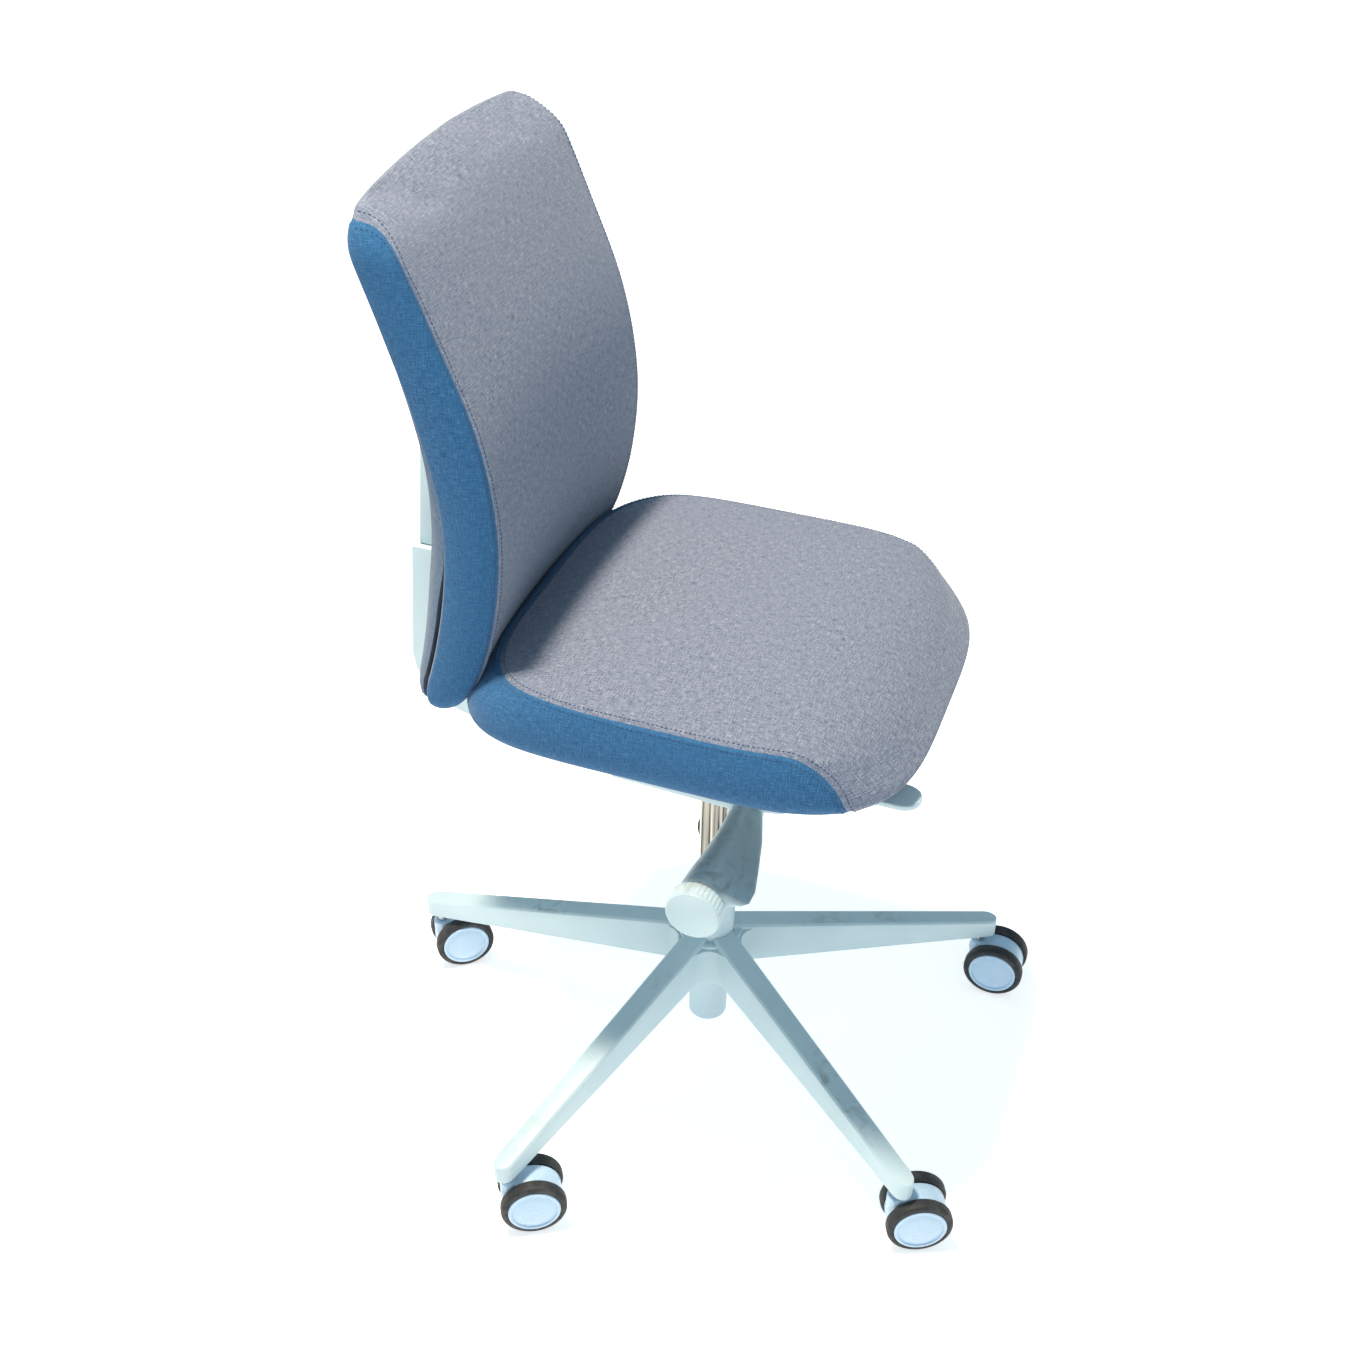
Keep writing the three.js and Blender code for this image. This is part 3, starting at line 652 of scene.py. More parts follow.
@dataclass
class GasLift:
    """The column: white outer tube, black bush and polished cylinder."""

    tube_radius: float = 0.025
    foot_radius: float = 0.0202
    bore: float = 0.0219
    cylinder_radius: float = 0.014
    rod_bore: float = 0.006
    rod_bore_depth: float = 0.185
    valve_bore: float = 0.0046
    valve_bore_depth: float = 0.018
    slip: float = 0.0003

    def build(self, shop: Workshop) -> None:
        """Models the tube, the bush and the cylinder round the column's axis."""
        axis = shop.middle("gas_cylinder")
        place = Matrix.Translation((axis.x, axis.y, 0))
        low, high = (corner.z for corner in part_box("column_tube"))
        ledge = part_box("star_base")[0].z
        shoulder = max(ledge, low + 0.08)
        foot, inner_foot = self.foot_radius, self.foot_radius - 0.003
        tube = spun("column_tube_surface", [
            (0, low), (foot - 0.0025, low), *arc((foot - 0.0025, low + 0.0025), 0.0025, -90, 0, 4),
            (foot, shoulder), (self.tube_radius, shoulder + 0.0006),
            *arc((self.tube_radius - 0.0015, high - 0.0015), 0.0015, 0, 90, 4), (self.bore, high),
            (self.bore, shoulder + 0.004), (inner_foot, shoulder + 0.002), (inner_foot, low + 0.012),
            (0, low + 0.012)])
        tube.data.transform(place)
        shop.fit(tube, "base", Finish.WHITE_METAL, "column_tube")
        bush_low, bush_high = (corner.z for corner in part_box("guide_bush"))
        radius = self.cylinder_radius
        inner, outer = radius + self.slip, self.bore - 0.0004
        bush = spun("guide_bush_surface", [
            (inner, bush_low), (outer, bush_low), (outer, bush_high), (radius + 0.0014, bush_high),
            (inner, bush_high - 0.0012), (inner, bush_low)])
        bush.data.transform(place)
        shop.fit(bush, "base", Finish.BLACK, "guide_bush")
        low, high = (corner.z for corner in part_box("gas_cylinder"))
        rod_end, valve_end = low + self.rod_bore_depth, high - self.valve_bore_depth
        cylinder = spun("gas_cylinder_surface", [
            (0, rod_end), (self.rod_bore, rod_end), (self.rod_bore, low), (radius - 0.001, low),
            (radius, low + 0.001), (radius, high - 0.03), (radius - 0.001, high - 0.001),
            (radius - 0.002, high), (self.valve_bore, high), (self.valve_bore, valve_end),
            (0, valve_end)], 96)
        cylinder.data.transform(place)
        shop.fit(cylinder, "lift", Finish.CHROME, "gas_cylinder")


# ---------------------------------------------------------------- casters


@dataclass
class Caster:
    """One twin-wheel caster: hood, stem, and a wheel disc and tyre on each side."""

    wheel_radius: float = 0.0325
    cap_radius: float = 0.0262
    wheel_width: float = 0.014
    hood_width: float = 0.020
    gap: float = 0.0004
    trail: float = 0.021

    def wheel(self) -> Object:
        """A wheel disc about Z: dished cap with a raised bright rim and a shallow ring."""
        r, w = self.cap_radius, self.wheel_width
        return spun("wheel_pattern", [
            (0, 0.0005), (r - 0.0015, 0.0005), (r - 0.0004, 0.0012), (r - 0.0004, w - 0.0018),
            *arc((r - 0.0016, w - 0.0012), 0.0012, 0, 90, 5),
            *arc((r - 0.0030, w - 0.0006), 0.0006, 90, 180, 3),
            (r - 0.0046, w - 0.0014), (r - 0.0058, w - 0.0009), (r * 0.5, w - 0.0004), (r * 0.2, w - 0.0002),
            (0, w - 0.0002)], 72)

    def tyre(self) -> Object:
        """A soft tyre about Z with rounded shoulders."""
        r, w, inner = self.wheel_radius, self.wheel_width, self.cap_radius - 0.0002
        return spun("tyre_pattern", [
            (inner, 0.0008), (r - 0.004, 0.0002), *arc((r - 0.003, 0.0032), 0.003, -90, 0, 5),
            *arc((r - 0.0042, w - 0.0052), 0.0042, 0, 90, 7), (inner + 0.0012, w - 0.0012),
            (inner, w - 0.0018), (inner, 0.0008)], 80)

    def hood(self) -> Object:
        """The fender between the wheels with its post for the stem, trailing towards +X."""
        half = self.hood_width / 2
        r = self.wheel_radius - 0.003
        disc = spun("hood_pattern", [
            (0, -half), (r - 0.002, -half), *arc((r - 0.002, 0.002 - half), 0.002, -90, 0, 3),
            *arc((r - 0.002, half - 0.002), 0.002, 0, 90, 3), (0, half)], 64)
        upright = Matrix.Rotation(math.pi / 2, 4, "X")
        disc.data.transform(Matrix.Translation((self.trail, 0, self.wheel_radius)) @ upright)
        with editing(disc):
            bpy.ops.mesh.bisect(plane_co=(0, 0, self.wheel_radius - 0.0195), plane_no=(0, 0, 1),
                                use_fill=True, clear_inner=True)
        post_radius, top = half - 0.0005, self.wheel_radius + 0.026
        post = spun("post_pattern", [
            (0, self.wheel_radius), (post_radius, self.wheel_radius), (post_radius, top - 0.0015),
            (post_radius - 0.0015, top), (0, top)], 40)
        fuse = disc.modifiers.new("post", "BOOLEAN")
        fuse.operation = "UNION"
        fuse.object = post
        apply_modifiers(disc)
        remove(post)
        return round_edges(disc, 0.0006, 2, 40)

    def build_all(self, shop: Workshop) -> None:
        """Fits the five casters at their joints."""
        wheel, tyre, hood = self.wheel(), self.tyre(), self.hood()
        for number in range(1, 6):
            swivel = Vector(shop.joint(f"caster_{number}_swivel")["pos_m"])
            roll = shop.joint(f"caster_{number}_left_roll")
            axle, axis = Vector(roll["pos_m"]), Vector(roll["axis"])
            heading = math.atan2(axle.y - swivel.y, axle.x - swivel.x)
            stand = Matrix.Translation((swivel.x, swivel.y, 0)) @ Matrix.Rotation(heading, 4, "Z")
            shop.fit(copy_at(hood, f"caster_hood_{number}_surface", stand), f"caster_{number}",
                     Finish.CASTER, f"caster_hood_{number}")
            for side, sign in (("left", 1.0), ("right", -1.0)):
                outward = (axis * sign).to_track_quat("Z", "Y").to_matrix().to_4x4()
                seat = Matrix.Translation(axle + axis * sign * (self.hood_width / 2 + self.gap)) @ outward
                body = f"caster_{number}_{side}"
                for kind, pattern, finish in (("wheel", wheel, Finish.CASTER), ("tyre", tyre, Finish.TYRE)):
                    shop.fit(copy_at(pattern, f"{body}_{kind}", seat), body, finish,
                             f"caster_{kind}_{side}_{number}")
            for part in ("stem", "axle"):
                shop.wardrobe.dress(shop.nodes[f"caster_{part}_{number}"], Finish.STEEL)
        remove(wheel, tyre, hood)


# ---------------------------------------------------------------- mechanism and controls


@dataclass
class Mechanism:
    """The tilt mechanism's tray, axles and spring, and the plates and rails over it."""

    def build(self, shop: Workshop) -> None:
        """Refines the pressed and moulded parts and dresses the turned ones."""
        shop.refine("mechanism_housing", "mechanism", Finish.WHITE, 0.0014)
        shop.refine("seat_carrier", "carrier", Finish.BLACK, 0.0012)
        for side in ("left", "right"):
            shop.refine(f"slide_rail_{side}", "carrier", Finish.STEEL, 0.001)
        for node in ("tilt_axle", "recline_axle", "tension_spring", "valve_pin", "piston_rod"):
            shop.wardrobe.dress(shop.nodes[node], Finish.STEEL)


@dataclass
class SideControls:
    """The height paddle, its grey collar and the ribbed tension knob at its end."""

    knob_radius: float = 0.0255
    knob_depth: float = 0.017
    handle_radius: float = 0.022
    ribs: int = 34

    def knob(self, shop: Workshop) -> None:
        """A round knob with a flat face, a fine bright edge and ribs round its rim."""
        points_round = self.ribs * 8
        rim = []
        for i in range(points_round):
            angle = 2 * math.pi * i / points_round
            radius = self.knob_radius - 0.0008 + 0.0008 * abs(math.sin(self.ribs * angle / 2)) ** 0.6
            rim.append((radius * math.cos(angle), radius * math.sin(angle)))
        body = extruded("knob_rim", rim, 0.0026, self.knob_depth)
        round_edges(body, 0.0005, 1, 50)
        face_radius = self.knob_radius - 0.0006
        face = spun("knob_face", [
            (0, 0.0004), (face_radius - 0.003, 0.0004), (face_radius - 0.0022, 0.0),
            *arc((face_radius - 0.0012, 0.0012), 0.0012, -90, 0, 4)[1:], (face_radius, 0.004),
            (0, 0.004)], 96)
        shaft_low, shaft_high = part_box("tension_knob")
        length = shaft_high.x - shaft_low.x
        shaft = spun("knob_shaft", [(0, 0.003), (0.004, 0.003), (0.004, length), (0, length)], 24)
        knob = joined("tension_knob_surface", [body, face, shaft])
        centre = shop.joint("tension_turn")["pos_m"]
        stand_along_x(knob, (shaft_low.x, centre[1], centre[2]))
        smooth(knob, 30)
        shop.fit(knob, "knob", Finish.WHITE, "tension_knob")

    def collar(self, shop: Workshop) -> None:
        """The grey ring between the knob and the handle."""
        low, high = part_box("knob_collar")
        radius, width = 0.021, high.x - low.x
        ring = spun("knob_collar_surface", [
            (0.0045, 0), (radius - 0.0006, 0), (radius, 0.0006), (radius, width - 0.0006),
            (radius - 0.0006, width), (0.0045, width), (0.0045, 0)], 72)
        centre = shop.joint("tension_turn")["pos_m"]
        stand_along_x(ring, (low.x, centre[1], centre[2]))
        shop.fit(ring, "paddle", Finish.GREY, "knob_collar")

    @staticmethod
    def paddle_section(x: float, radius: float, reach: float, half: float, count: int = 40) -> list[Vector]:
        """One slice of the paddle: a round handle that runs forward into a flat wing.

        Args:
            x: Place along the handle.
            radius: Radius of the round part.
            reach: How far the wing's edge lies in front of the axis.
            half: Half thickness of the wing at its edge.
            count: Points in the slice.

        Returns:
            The slice's points, in the plane of x.
        """
        points = []
        for i in range(count):
            angle = 2 * math.pi * i / count
            forward, up = math.cos(angle), math.sin(angle)
            if forward <= 0:
                points.append(Vector((x, -forward * radius, up * radius)))
                continue
            stretch = max(reach - radius, 0.0) * forward ** 0.85
            thickness = radius + (half - radius) * forward ** 0.55
            points.append(Vector((x, -(forward * radius + stretch), up * thickness + forward * 0.2 * radius)))
        return points

    def paddle(self, shop: Workshop) -> None:
        """The handle with its wing, lofted through its slices, and its inner sleeve."""
        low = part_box("height_paddle")[0]
        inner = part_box("mechanism_housing")[0].x - 0.0004
        centre = Vector(shop.joint("paddle_lift")["pos_m"])
        r = self.handle_radius
        slices = [
            (low.x, r - 0.003, 0.030, 0.0006), (low.x + 0.0008, r - 0.0012, 0.038, 0.0010),
            (low.x + 0.006, r, 0.0435, 0.0022), (low.x + 0.022, r - 0.001, 0.044, 0.0030),
            (low.x + 0.055, r - 0.005, 0.037, 0.0036), (low.x + 0.090, r - 0.0075, 0.029, 0.0042),
            (inner - 0.008, r - 0.0085, 0.020, 0.0050), (inner, r - 0.009, 0.017, 0.0050)]
        handle = bridged("height_paddle_surface", [self.paddle_section(*one) for one in slices])
        handle.data.transform(Matrix.Translation((0, centre.y, centre.z)))
        smooth(handle, 50)
        shop.fit(handle, "paddle", Finish.WHITE, "height_paddle")
        sleeve = spun("paddle_sleeve", [(0, 0), (0.009, 0), (0.009, 0.032), (0, 0.032)], 40)
        stand_along_x(sleeve, (inner - 0.002, centre.y, centre.z))
        shop.fit(sleeve, "paddle", Finish.BLACK)

    def build(self, shop: Workshop) -> None:
        """Models the three pieces."""
        self.paddle(shop)
        self.collar(shop)
        self.knob(shop)


# ---------------------------------------------------------------- upholstery


@dataclass
class Seam:
    """A sewn joint on a padded form, by distance from a signed attribute."""

    attribute: str
    depth: float = 0.0013
    width: float = 0.0022
    shoulder: float = 0.0005

    def offset(self, distance: float) -> float:
        """How far the cloth moves out at a distance from the seam: a valley with soft shoulders."""
        near = math.exp(-((distance / self.width) ** 2))
        beside = math.exp(-(((abs(distance) - 2.2 * self.width) / (1.2 * self.width)) ** 2))
        return self.shoulder * beside - self.depth * near


@dataclass
class PaddedForm:
    """A closed padded form: rings from its hidden side, round its edge, to its face.

    The rings are bridged, both ends are filled with a grid of quads, the panels are swelled by a
    cloth simulation that the seams hold down, and the seams are pressed in afterwards.
    """

    name: str
    rings: list[list[Vector]]
    drape: Callable[[Vector, bool], Vector]
    swell: float = 3.0
    cap: float = 0.006
    stitch_offset: float = 0.0046
    obj: Object = field(init=False)
    face_points: set[int] = field(init=False, default_factory=set)

    def construct(self) -> None:
        """Bridges the rings and fills both ends."""
        self.obj = bridged(self.name, self.rings, close_ends=False)
        count, levels = len(self.rings[0]), len(self.rings)
        for level in (0, levels - 1):
            before = len(self.obj.data.vertices)
            with editing(self.obj) as mesh:
                select_points(mesh, level * count, (level + 1) * count)
                bpy.ops.mesh.fill_grid(span=count // 4, offset=count // 8)
            for vert in self.obj.data.vertices[before:]:
                vert.co = self.drape(vert.co, level > 0)
                if level > 0:
                    self.face_points.add(vert.index)
        with editing(self.obj):
            bpy.ops.mesh.normals_make_consistent(inside=False)

    def simulate(self, held: Sequence[int]) -> None:
        """Swells the panels between the held points and caps how far each point moves.

        Args:
            held: Indices of the points that stay where they are.
        """
        obj = self.obj
        rest = [v.co.copy() for v in obj.data.vertices]
        group = obj.vertex_groups.new(name="held")
        group.add(list(held), 1.0, "REPLACE")
        cloth = obj.modifiers.new("swell", "CLOTH")
        settings = cloth.settings
        settings.quality = 5
        settings.mass = 0.25
        settings.tension_stiffness = settings.compression_stiffness = 25
        settings.shear_stiffness = 12
        settings.bending_stiffness = 4
        settings.use_pressure = True
        settings.uniform_pressure_force = self.swell
        settings.vertex_group_mass = group.name
        settings.effector_weights.gravity = 0
        cloth.collision_settings.use_collision = False
        scene = bpy.context.scene
        for frame in range(1, 17):
            scene.frame_set(frame)
        apply_modifiers(obj)
        scene.frame_set(1)
        for vert, start in zip(obj.data.vertices, rest):
            move = vert.co - start
            if move.length > 1e-9:
                vert.co = start + move * (math.tanh(move.length / self.cap) * self.cap / move.length)
        obj.vertex_groups.clear()

    def ring_distances(self, seam_ring: int) -> list[float]:
        """Distance of each point from a ring along its column, positive on the hidden side of it."""
        count, levels = len(self.rings[0]), len(self.rings)
        verts = self.obj.data.vertices
        far = 0.2
        out = [-far if v.index in self.face_points else far for v in verts]
        for i in range(count):
            out[seam_ring * count + i] = 0.0
            for step, sign in ((-1, 1.0), (1, -1.0)):
                run, level = 0.0, seam_ring
                while 0 <= level + step < levels:
                    run += (verts[(level + step) * count + i].co - verts[level * count + i].co).length
                    level += step
                    out[level * count + i] = sign * run
        return out

    def set_attribute(self, name: str, values: Sequence[float]) -> None:
        """Stores one number on each vertex."""
        layer = self.obj.data.attributes.new(name, "FLOAT", "POINT")
        layer.data.foreach_set("value", list(values))

    def get_attribute(self, name: str) -> list[float]:
        """Reads a number from each vertex."""
        values = [0.0] * len(self.obj.data.vertices)
        self.obj.data.attributes[name].data.foreach_get("value", values)
        return values

    def subdivide(self) -> None:
        """Rounds the form with one subdivision."""
        modifier = self.obj.modifiers.new("rounding", "SUBSURF")
        modifier.levels = modifier.render_levels = 1
        apply_modifiers(self.obj)

    def press_seams(self, seams: Sequence[Seam]) -> None:
        """Moves the cloth in along its seams."""
        data = self.obj.data
        normals = [v.normal.copy() for v in data.vertices]
        for seam in seams:
            for vert, normal, distance in zip(data.vertices, normals, self.get_attribute(seam.attribute)):
                if abs(distance) < 5 * seam.width:
                    vert.co += normal * seam.offset(distance)

    def contours(self, attribute: str, level: float, keep: Callable[[Vector], bool]) -> list[list[Vector]]:
        """Lines on the form where an attribute has one value.

        Args:
            attribute: The attribute's name.
            level: The value along the lines.
            keep: Says of a point whether it may be on a line.

        Returns:
            The lines, each a list of points.
        """
        values = self.get_attribute(attribute)
        verts = self.obj.data.vertices
        spots: dict[tuple[int, int], Vector] = {}
        links: dict[tuple[int, int], list[tuple[int, int]]] = {}
        for face in self.obj.data.polygons:
            crossed = []
            for a, b in face.edge_keys:
                da, db = values[a] - level, values[b] - level
                if (da < 0) != (db < 0):
                    spots[(a, b)] = verts[a].co.lerp(verts[b].co, da / (da - db))
                    crossed.append((a, b))
            if len(crossed) == 2 and all(keep(spots[key]) for key in crossed):
                for one, other in (crossed, crossed[::-1]):
                    links.setdefault(one, []).append(other)
        lines, used = [], set()
        for first in sorted(links, key=lambda key: (len(links[key]), key)):
            if first in used:
                continue
            line, here = [], first
            while here is not None:
                used.add(here)
                line.append(spots[here])
                here = next((key for key in links[here] if key not in used), None)
            if len(links[first]) == 2:
                line.append(spots[first])
            lines.append(line)
        return [line for line in lines if len(line) > 8]

    def lay_weave(self) -> None:
        """Gives every face weave coordinates in metres, flat along its main direction."""
        data = self.obj.data
        layer = data.uv_layers.new(name="weave")
        for face in data.polygons:
            axis = max(range(3), key=lambda i: abs(face.normal[i]))
            first, second = ((1, 2), (0, 2), (0, 1))[axis]
            for loop in face.loop_indices:
                place = data.vertices[data.loops[loop].vertex_index].co
                layer.data[loop].uv = (place[first], place[second])

    def sew(self, shop: Workshop, body: str, node: str, seams: Sequence[Seam], keep: Callable[[Vector], bool]) -> None:
        """Rounds, presses, dresses and fits the form, with two rows of stitches by its first seam.

        Args:
            shop: The workshop.
            body: The body that the form rides on.
            node: The node that it stands for.
            seams: The seams to press in; the first one gets the stitches.
            keep: Says where stitches may be.
        """
        rows = [(name, self.contours(seams[0].attribute, offset, keep))
                for offset, name in ((-self.stitch_offset, "face"), (self.stitch_offset, "side"))]
        self.subdivide()
        self.press_seams(seams)
        self.lay_weave()
        select_only(self.obj)
        bpy.ops.object.shade_smooth()
        shop.fit(self.obj, body, Finish.MAIN_CLOTH, node)
        surface = BVHTree.FromObject(self.obj, bpy.context.evaluated_depsgraph_get())
        for name, lines in rows:
            shop.fit(stitch_row(f"{body}_stitches_{name}", lines, surface), body, Finish.THREAD)


def stitch_row(name: str, lines: Sequence[Sequence[Vector]], surface: BVHTree, pitch: float = 0.0042,
               length: float = 0.0030, thickness: float = 0.00055) -> Object:
    """Rows of short stitches along lines, lying on a surface.

    Args:
        name: The piece's name.
        lines: Lines to sew along, each a list of points.
        surface: The cloth that the stitches lie on.
        pitch: Distance from one stitch to the next.
        length: Length of one stitch.
        thickness: Half the thickness of the thread.

    Returns:
        One object with all the stitches.
    """
    bpy.ops.mesh.primitive_uv_sphere_add(segments=6, ring_count=4, radius=1.0)
    pattern = bpy.context.active_object
    shape = [v.co.copy() for v in pattern.data.vertices]
    faces = [tuple(p.vertices) for p in pattern.data.polygons]
    remove(pattern)
    points: list[Vector] = []
    rings: list[tuple[int, ...]] = []
    for line in lines:
        travelled, due = 0.0, pitch / 2
        for start, end in zip(line, line[1:]):
            span = (end - start).length
            while span > 0 and due <= travelled + span:
                place, normal, _, _ = surface.find_nearest(start.lerp(end, (due - travelled) / span))
                along = (end - start).normalized()
                along = (along - normal * along.dot(normal)).normalized()
                sideways = normal.cross(along)
                base = len(points)
                for p in shape:
                    points.append(place + along * p.x * length / 2 + sideways * p.y * thickness
                                  + normal * (p.z * thickness + 0.0001))
                rings.extend(tuple(base + k for k in ring) for ring in faces)
                due += pitch
            travelled += span
    obj = new_object(name, points, faces=rings)
    return smooth(obj, 60)


def smoothstep(value: float) -> float:
    """A soft step from 0 to 1."""
    t = min(1.0, max(0.0, value))
    return t * t * (3 - 2 * t)


def within_both(first: float, second: float, radius: float) -> float:
    """Signed distance inside two edges that meet in a round corner.

    Args:
        first: Distance inside the first edge.
        second: Distance inside the second edge.
        radius: Radius of the corner.

    Returns:
        The distance, positive inside.
    """
    a, b = radius - first, radius - second
    return radius - math.hypot(max(a, 0.0), max(b, 0.0)) - min(max(a, b), 0.0)


def evenly_spaced(outline: Sequence[Pair], count: int) -> list[Pair]:
    """Points at equal distances round a closed outline.

    Args:
        outline: Dense points round the outline.
        count: How many points are wanted.

    Returns:
        The evenly spaced points, from the first one of the outline.
    """
    loop = [Vector(p) for p in outline] + [Vector(outline[0])]
    runs = [0.0]
    for a, b in zip(loop, loop[1:]):
        runs.append(runs[-1] + (b - a).length)
    points, segment = [], 0
    for i in range(count):
        target = runs[-1] * i / count
        while runs[segment + 1] < target:
            segment += 1
        t = (target - runs[segment]) / (runs[segment + 1] - runs[segment])
        spot = loop[segment].lerp(loop[segment + 1], t)
        points.append((spot.x, spot.y))
    return points


@dataclass
class SeatCushion:
    """The seat: a crowned top panel that rolls down over the nose, between upright side bands."""

    squareness_front: float = 3.4
    squareness_back: float = 4.3
    foot_squareness_front: float = 3.9
    foot_squareness_back: float = 5.6
    foot_reach: float = 0.016
    columns: int = 208
    crown: float = 0.012
    drop: float = 0.032
    band_inset: float = 0.010
    band_end: float = 0.046
    band_corner: float = 0.062
    nose_round: float = 0.009
    nose_start: float = 0.085
    nose_run: float = 0.07
    nose_lip: float = 0.010
    roll_run: float = 0.114
    roll_power: float = 1.8
    back_fall: float = 0.007
    back_run: float = 0.085
    rise: float = 0.004
    rise_run: float = 0.106

    def __post_init__(self) -> None:
        """Reads the cushion's box from the frame."""
        low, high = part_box("seat_cushion")
        self.half_width = (high.x - low.x) / 2 - 0.001
        self.front, self.back = low.y + 0.005, high.y
        self.middle_y = (self.front + self.back) / 2
        self.half_depth = (self.back - self.front) / 2 - 0.001
        self.underside = low.z
        self.seam_height = high.z - 0.0085

    def front_drop(self, y: float) -> float:
        """How far the top has rolled down at y."""
        start = self.front + self.roll_run
        return self.drop * max(0.0, (start - y) / self.roll_run) ** self.roll_power

    def back_drop(self, y: float) -> float:
        """How far the top has sunk towards the back edge at y."""
        return self.back_fall * smoothstep((y - self.back + self.back_run) / self.back_run)

    def under_rise(self, y: float) -> float:
        """How far the underside has risen at y."""
        return self.rise * max(0.0, (self.front + self.rise_run - y) / self.rise_run)

    def nose(self, y: float) -> float:
        """0 along the sides and the back, 1 at the front of the nose."""
        return smoothstep((self.front + self.nose_start - y) / self.nose_run)

    def outline(self, inset: float, foot: float = 0.0) -> list[Pair]:
        """The plan outline, its points evenly spaced.

        Args:
            inset: How far it is pulled in all round.
            foot: 0 at the seam, 1 at the foot of the band, which is squarer and reaches further back.

        Returns:
            The outline's points.
        """
        at_seam, at_foot = self.squareness_back, self.foot_squareness_back
        back_power = 2 / (at_seam + foot * (at_foot - at_seam))
        at_seam, at_foot = self.squareness_front, self.foot_squareness_front
        front_power = 2 / (at_seam + foot * (at_foot - at_seam))
        reach = self.half_depth - inset + foot * self.foot_reach
        dense = []
        for i in range(720):
            angle = 2 * math.pi * (i + 0.5) / 720
            c, s = math.cos(angle), math.sin(angle)
            power, depth = (back_power, reach) if s > 0 else (front_power, self.half_depth - inset)
            dense.append(((self.half_width - inset) * math.copysign(abs(c) ** power, c),
                          self.middle_y + depth * math.copysign(abs(s) ** power, s)))
        return evenly_spaced(dense, self.columns)

    def top_height(self, x: float, y: float) -> float:
        """Height of the top panel over a plan point."""
        u = abs(x) / (self.half_width - self.band_inset)
        v = abs(y - self.middle_y) / (self.half_depth - self.band_inset)
        power = self.squareness_back if y > self.middle_y else self.squareness_front
        reach = min(1.0, (u ** power + v ** power) ** (1 / power))
        lip = self.nose(y) * self.nose_lip * smoothstep((reach - 0.80) / 0.2) ** 1.5
        rim = self.seam_height - self.front_drop(y) - self.back_drop(y)
        return rim + self.crown * (1 - reach ** 3.0) - lip

    def ring(self, inset: float, height: Callable[[float, float], float]) -> list[Vector]:
        """One ring of the form at an inset, with its height by place."""
        return [Vector((x, y, height(x, y))) for x, y in self.outline(inset)]

    def drape(self, place: Vector, is_face: bool) -> Vector:
        """Puts a point of a filled end on its panel."""
        height = self.top_height(place.x, place.y) if is_face else self.underside + self.under_rise(place.y)
        return Vector((place.x, place.y, height))

    def band_ring(self, share: float, inset: float) -> list[Vector]:
        """A ring of the band, at a share of its height, which leans back over the nose."""
        points = []
        for x, y in self.outline(inset, 1 - share ** 2.6):
            low = self.underside + self.under_rise(y)
            lean = self.nose(y) * self.nose_round * share ** 2
            scale = 1 - lean / math.hypot(x, y - self.middle_y)
            leaning_x, leaning_y = x * scale, self.middle_y + (y - self.middle_y) * scale
            top = self.top_height(leaning_x, leaning_y)
            points.append(Vector((leaning_x, leaning_y, low + share * (top - low))))
        return points

    def build(self, shop: Workshop) -> None:
        """Models, simulates, sews and dresses the cushion."""
        rings = [self.band_ring(0, inset) for inset in (0.044, 0.034, 0.024, 0.016, 0.0095)]
        bulge = [(0.05, 0.0058), (0.12, 0.0034), (0.21, 0.0016), (0.32, 0.0006), (0.44, 0.0003),
                 (0.56, 0.0008), (0.67, 0.0019), (0.77, 0.0035), (0.86, 0.0054), (0.92, 0.0070),
                 (0.965, 0.0086)]
        rings += [self.band_ring(share, inset) for share, inset in bulge]
        seam_ring = len(rings)
        rings.append(self.band_ring(1, self.band_inset))
        rings += [self.ring(self.band_inset + step, self.top_height)
                  for step in (0.0150, 0.0195, 0.025, 0.031, 0.038, 0.046)]
        between = [0.002, 0.0042, 0.007, 0.0105]
        inner = rings[seam_ring + 1]
        rings[seam_ring + 1:seam_ring + 1] = [
            [self.drape(a.lerp(b, step / 0.0150), True) for a, b in zip(rings[seam_ring], inner)]
            for step in between]
        form = PaddedForm("seat_cushion_cover", rings, self.drape)
        form.construct()
        verts = form.obj.data.vertices
        below = form.ring_distances(seam_ring)
        side = [within_both(d, v.co.y - (self.front + self.band_end), self.band_corner)
                for d, v in zip(below, verts)]
        hidden = 5 * self.columns
        form.simulate([v.index for v in verts if v.index < hidden or abs(side[v.index]) < 0.003])
        form.set_attribute("side", side)
        form.sew(shop, "seat", "seat_cushion", [Seam("side")],
                 lambda place: place.z > self.underside + 0.004)


@dataclass
class SeatPan:
    """The black pan under the cushion and the flat lever that frees its slide."""

    def build(self, shop: Workshop) -> None:
        """Refines the pan and the lever."""
        shop.refine("seat_pan", "seat", Finish.BLACK, 0.0015)
        shop.refine("depth_lever", "depth_lever", Finish.WHITE, 0.0014, 3)


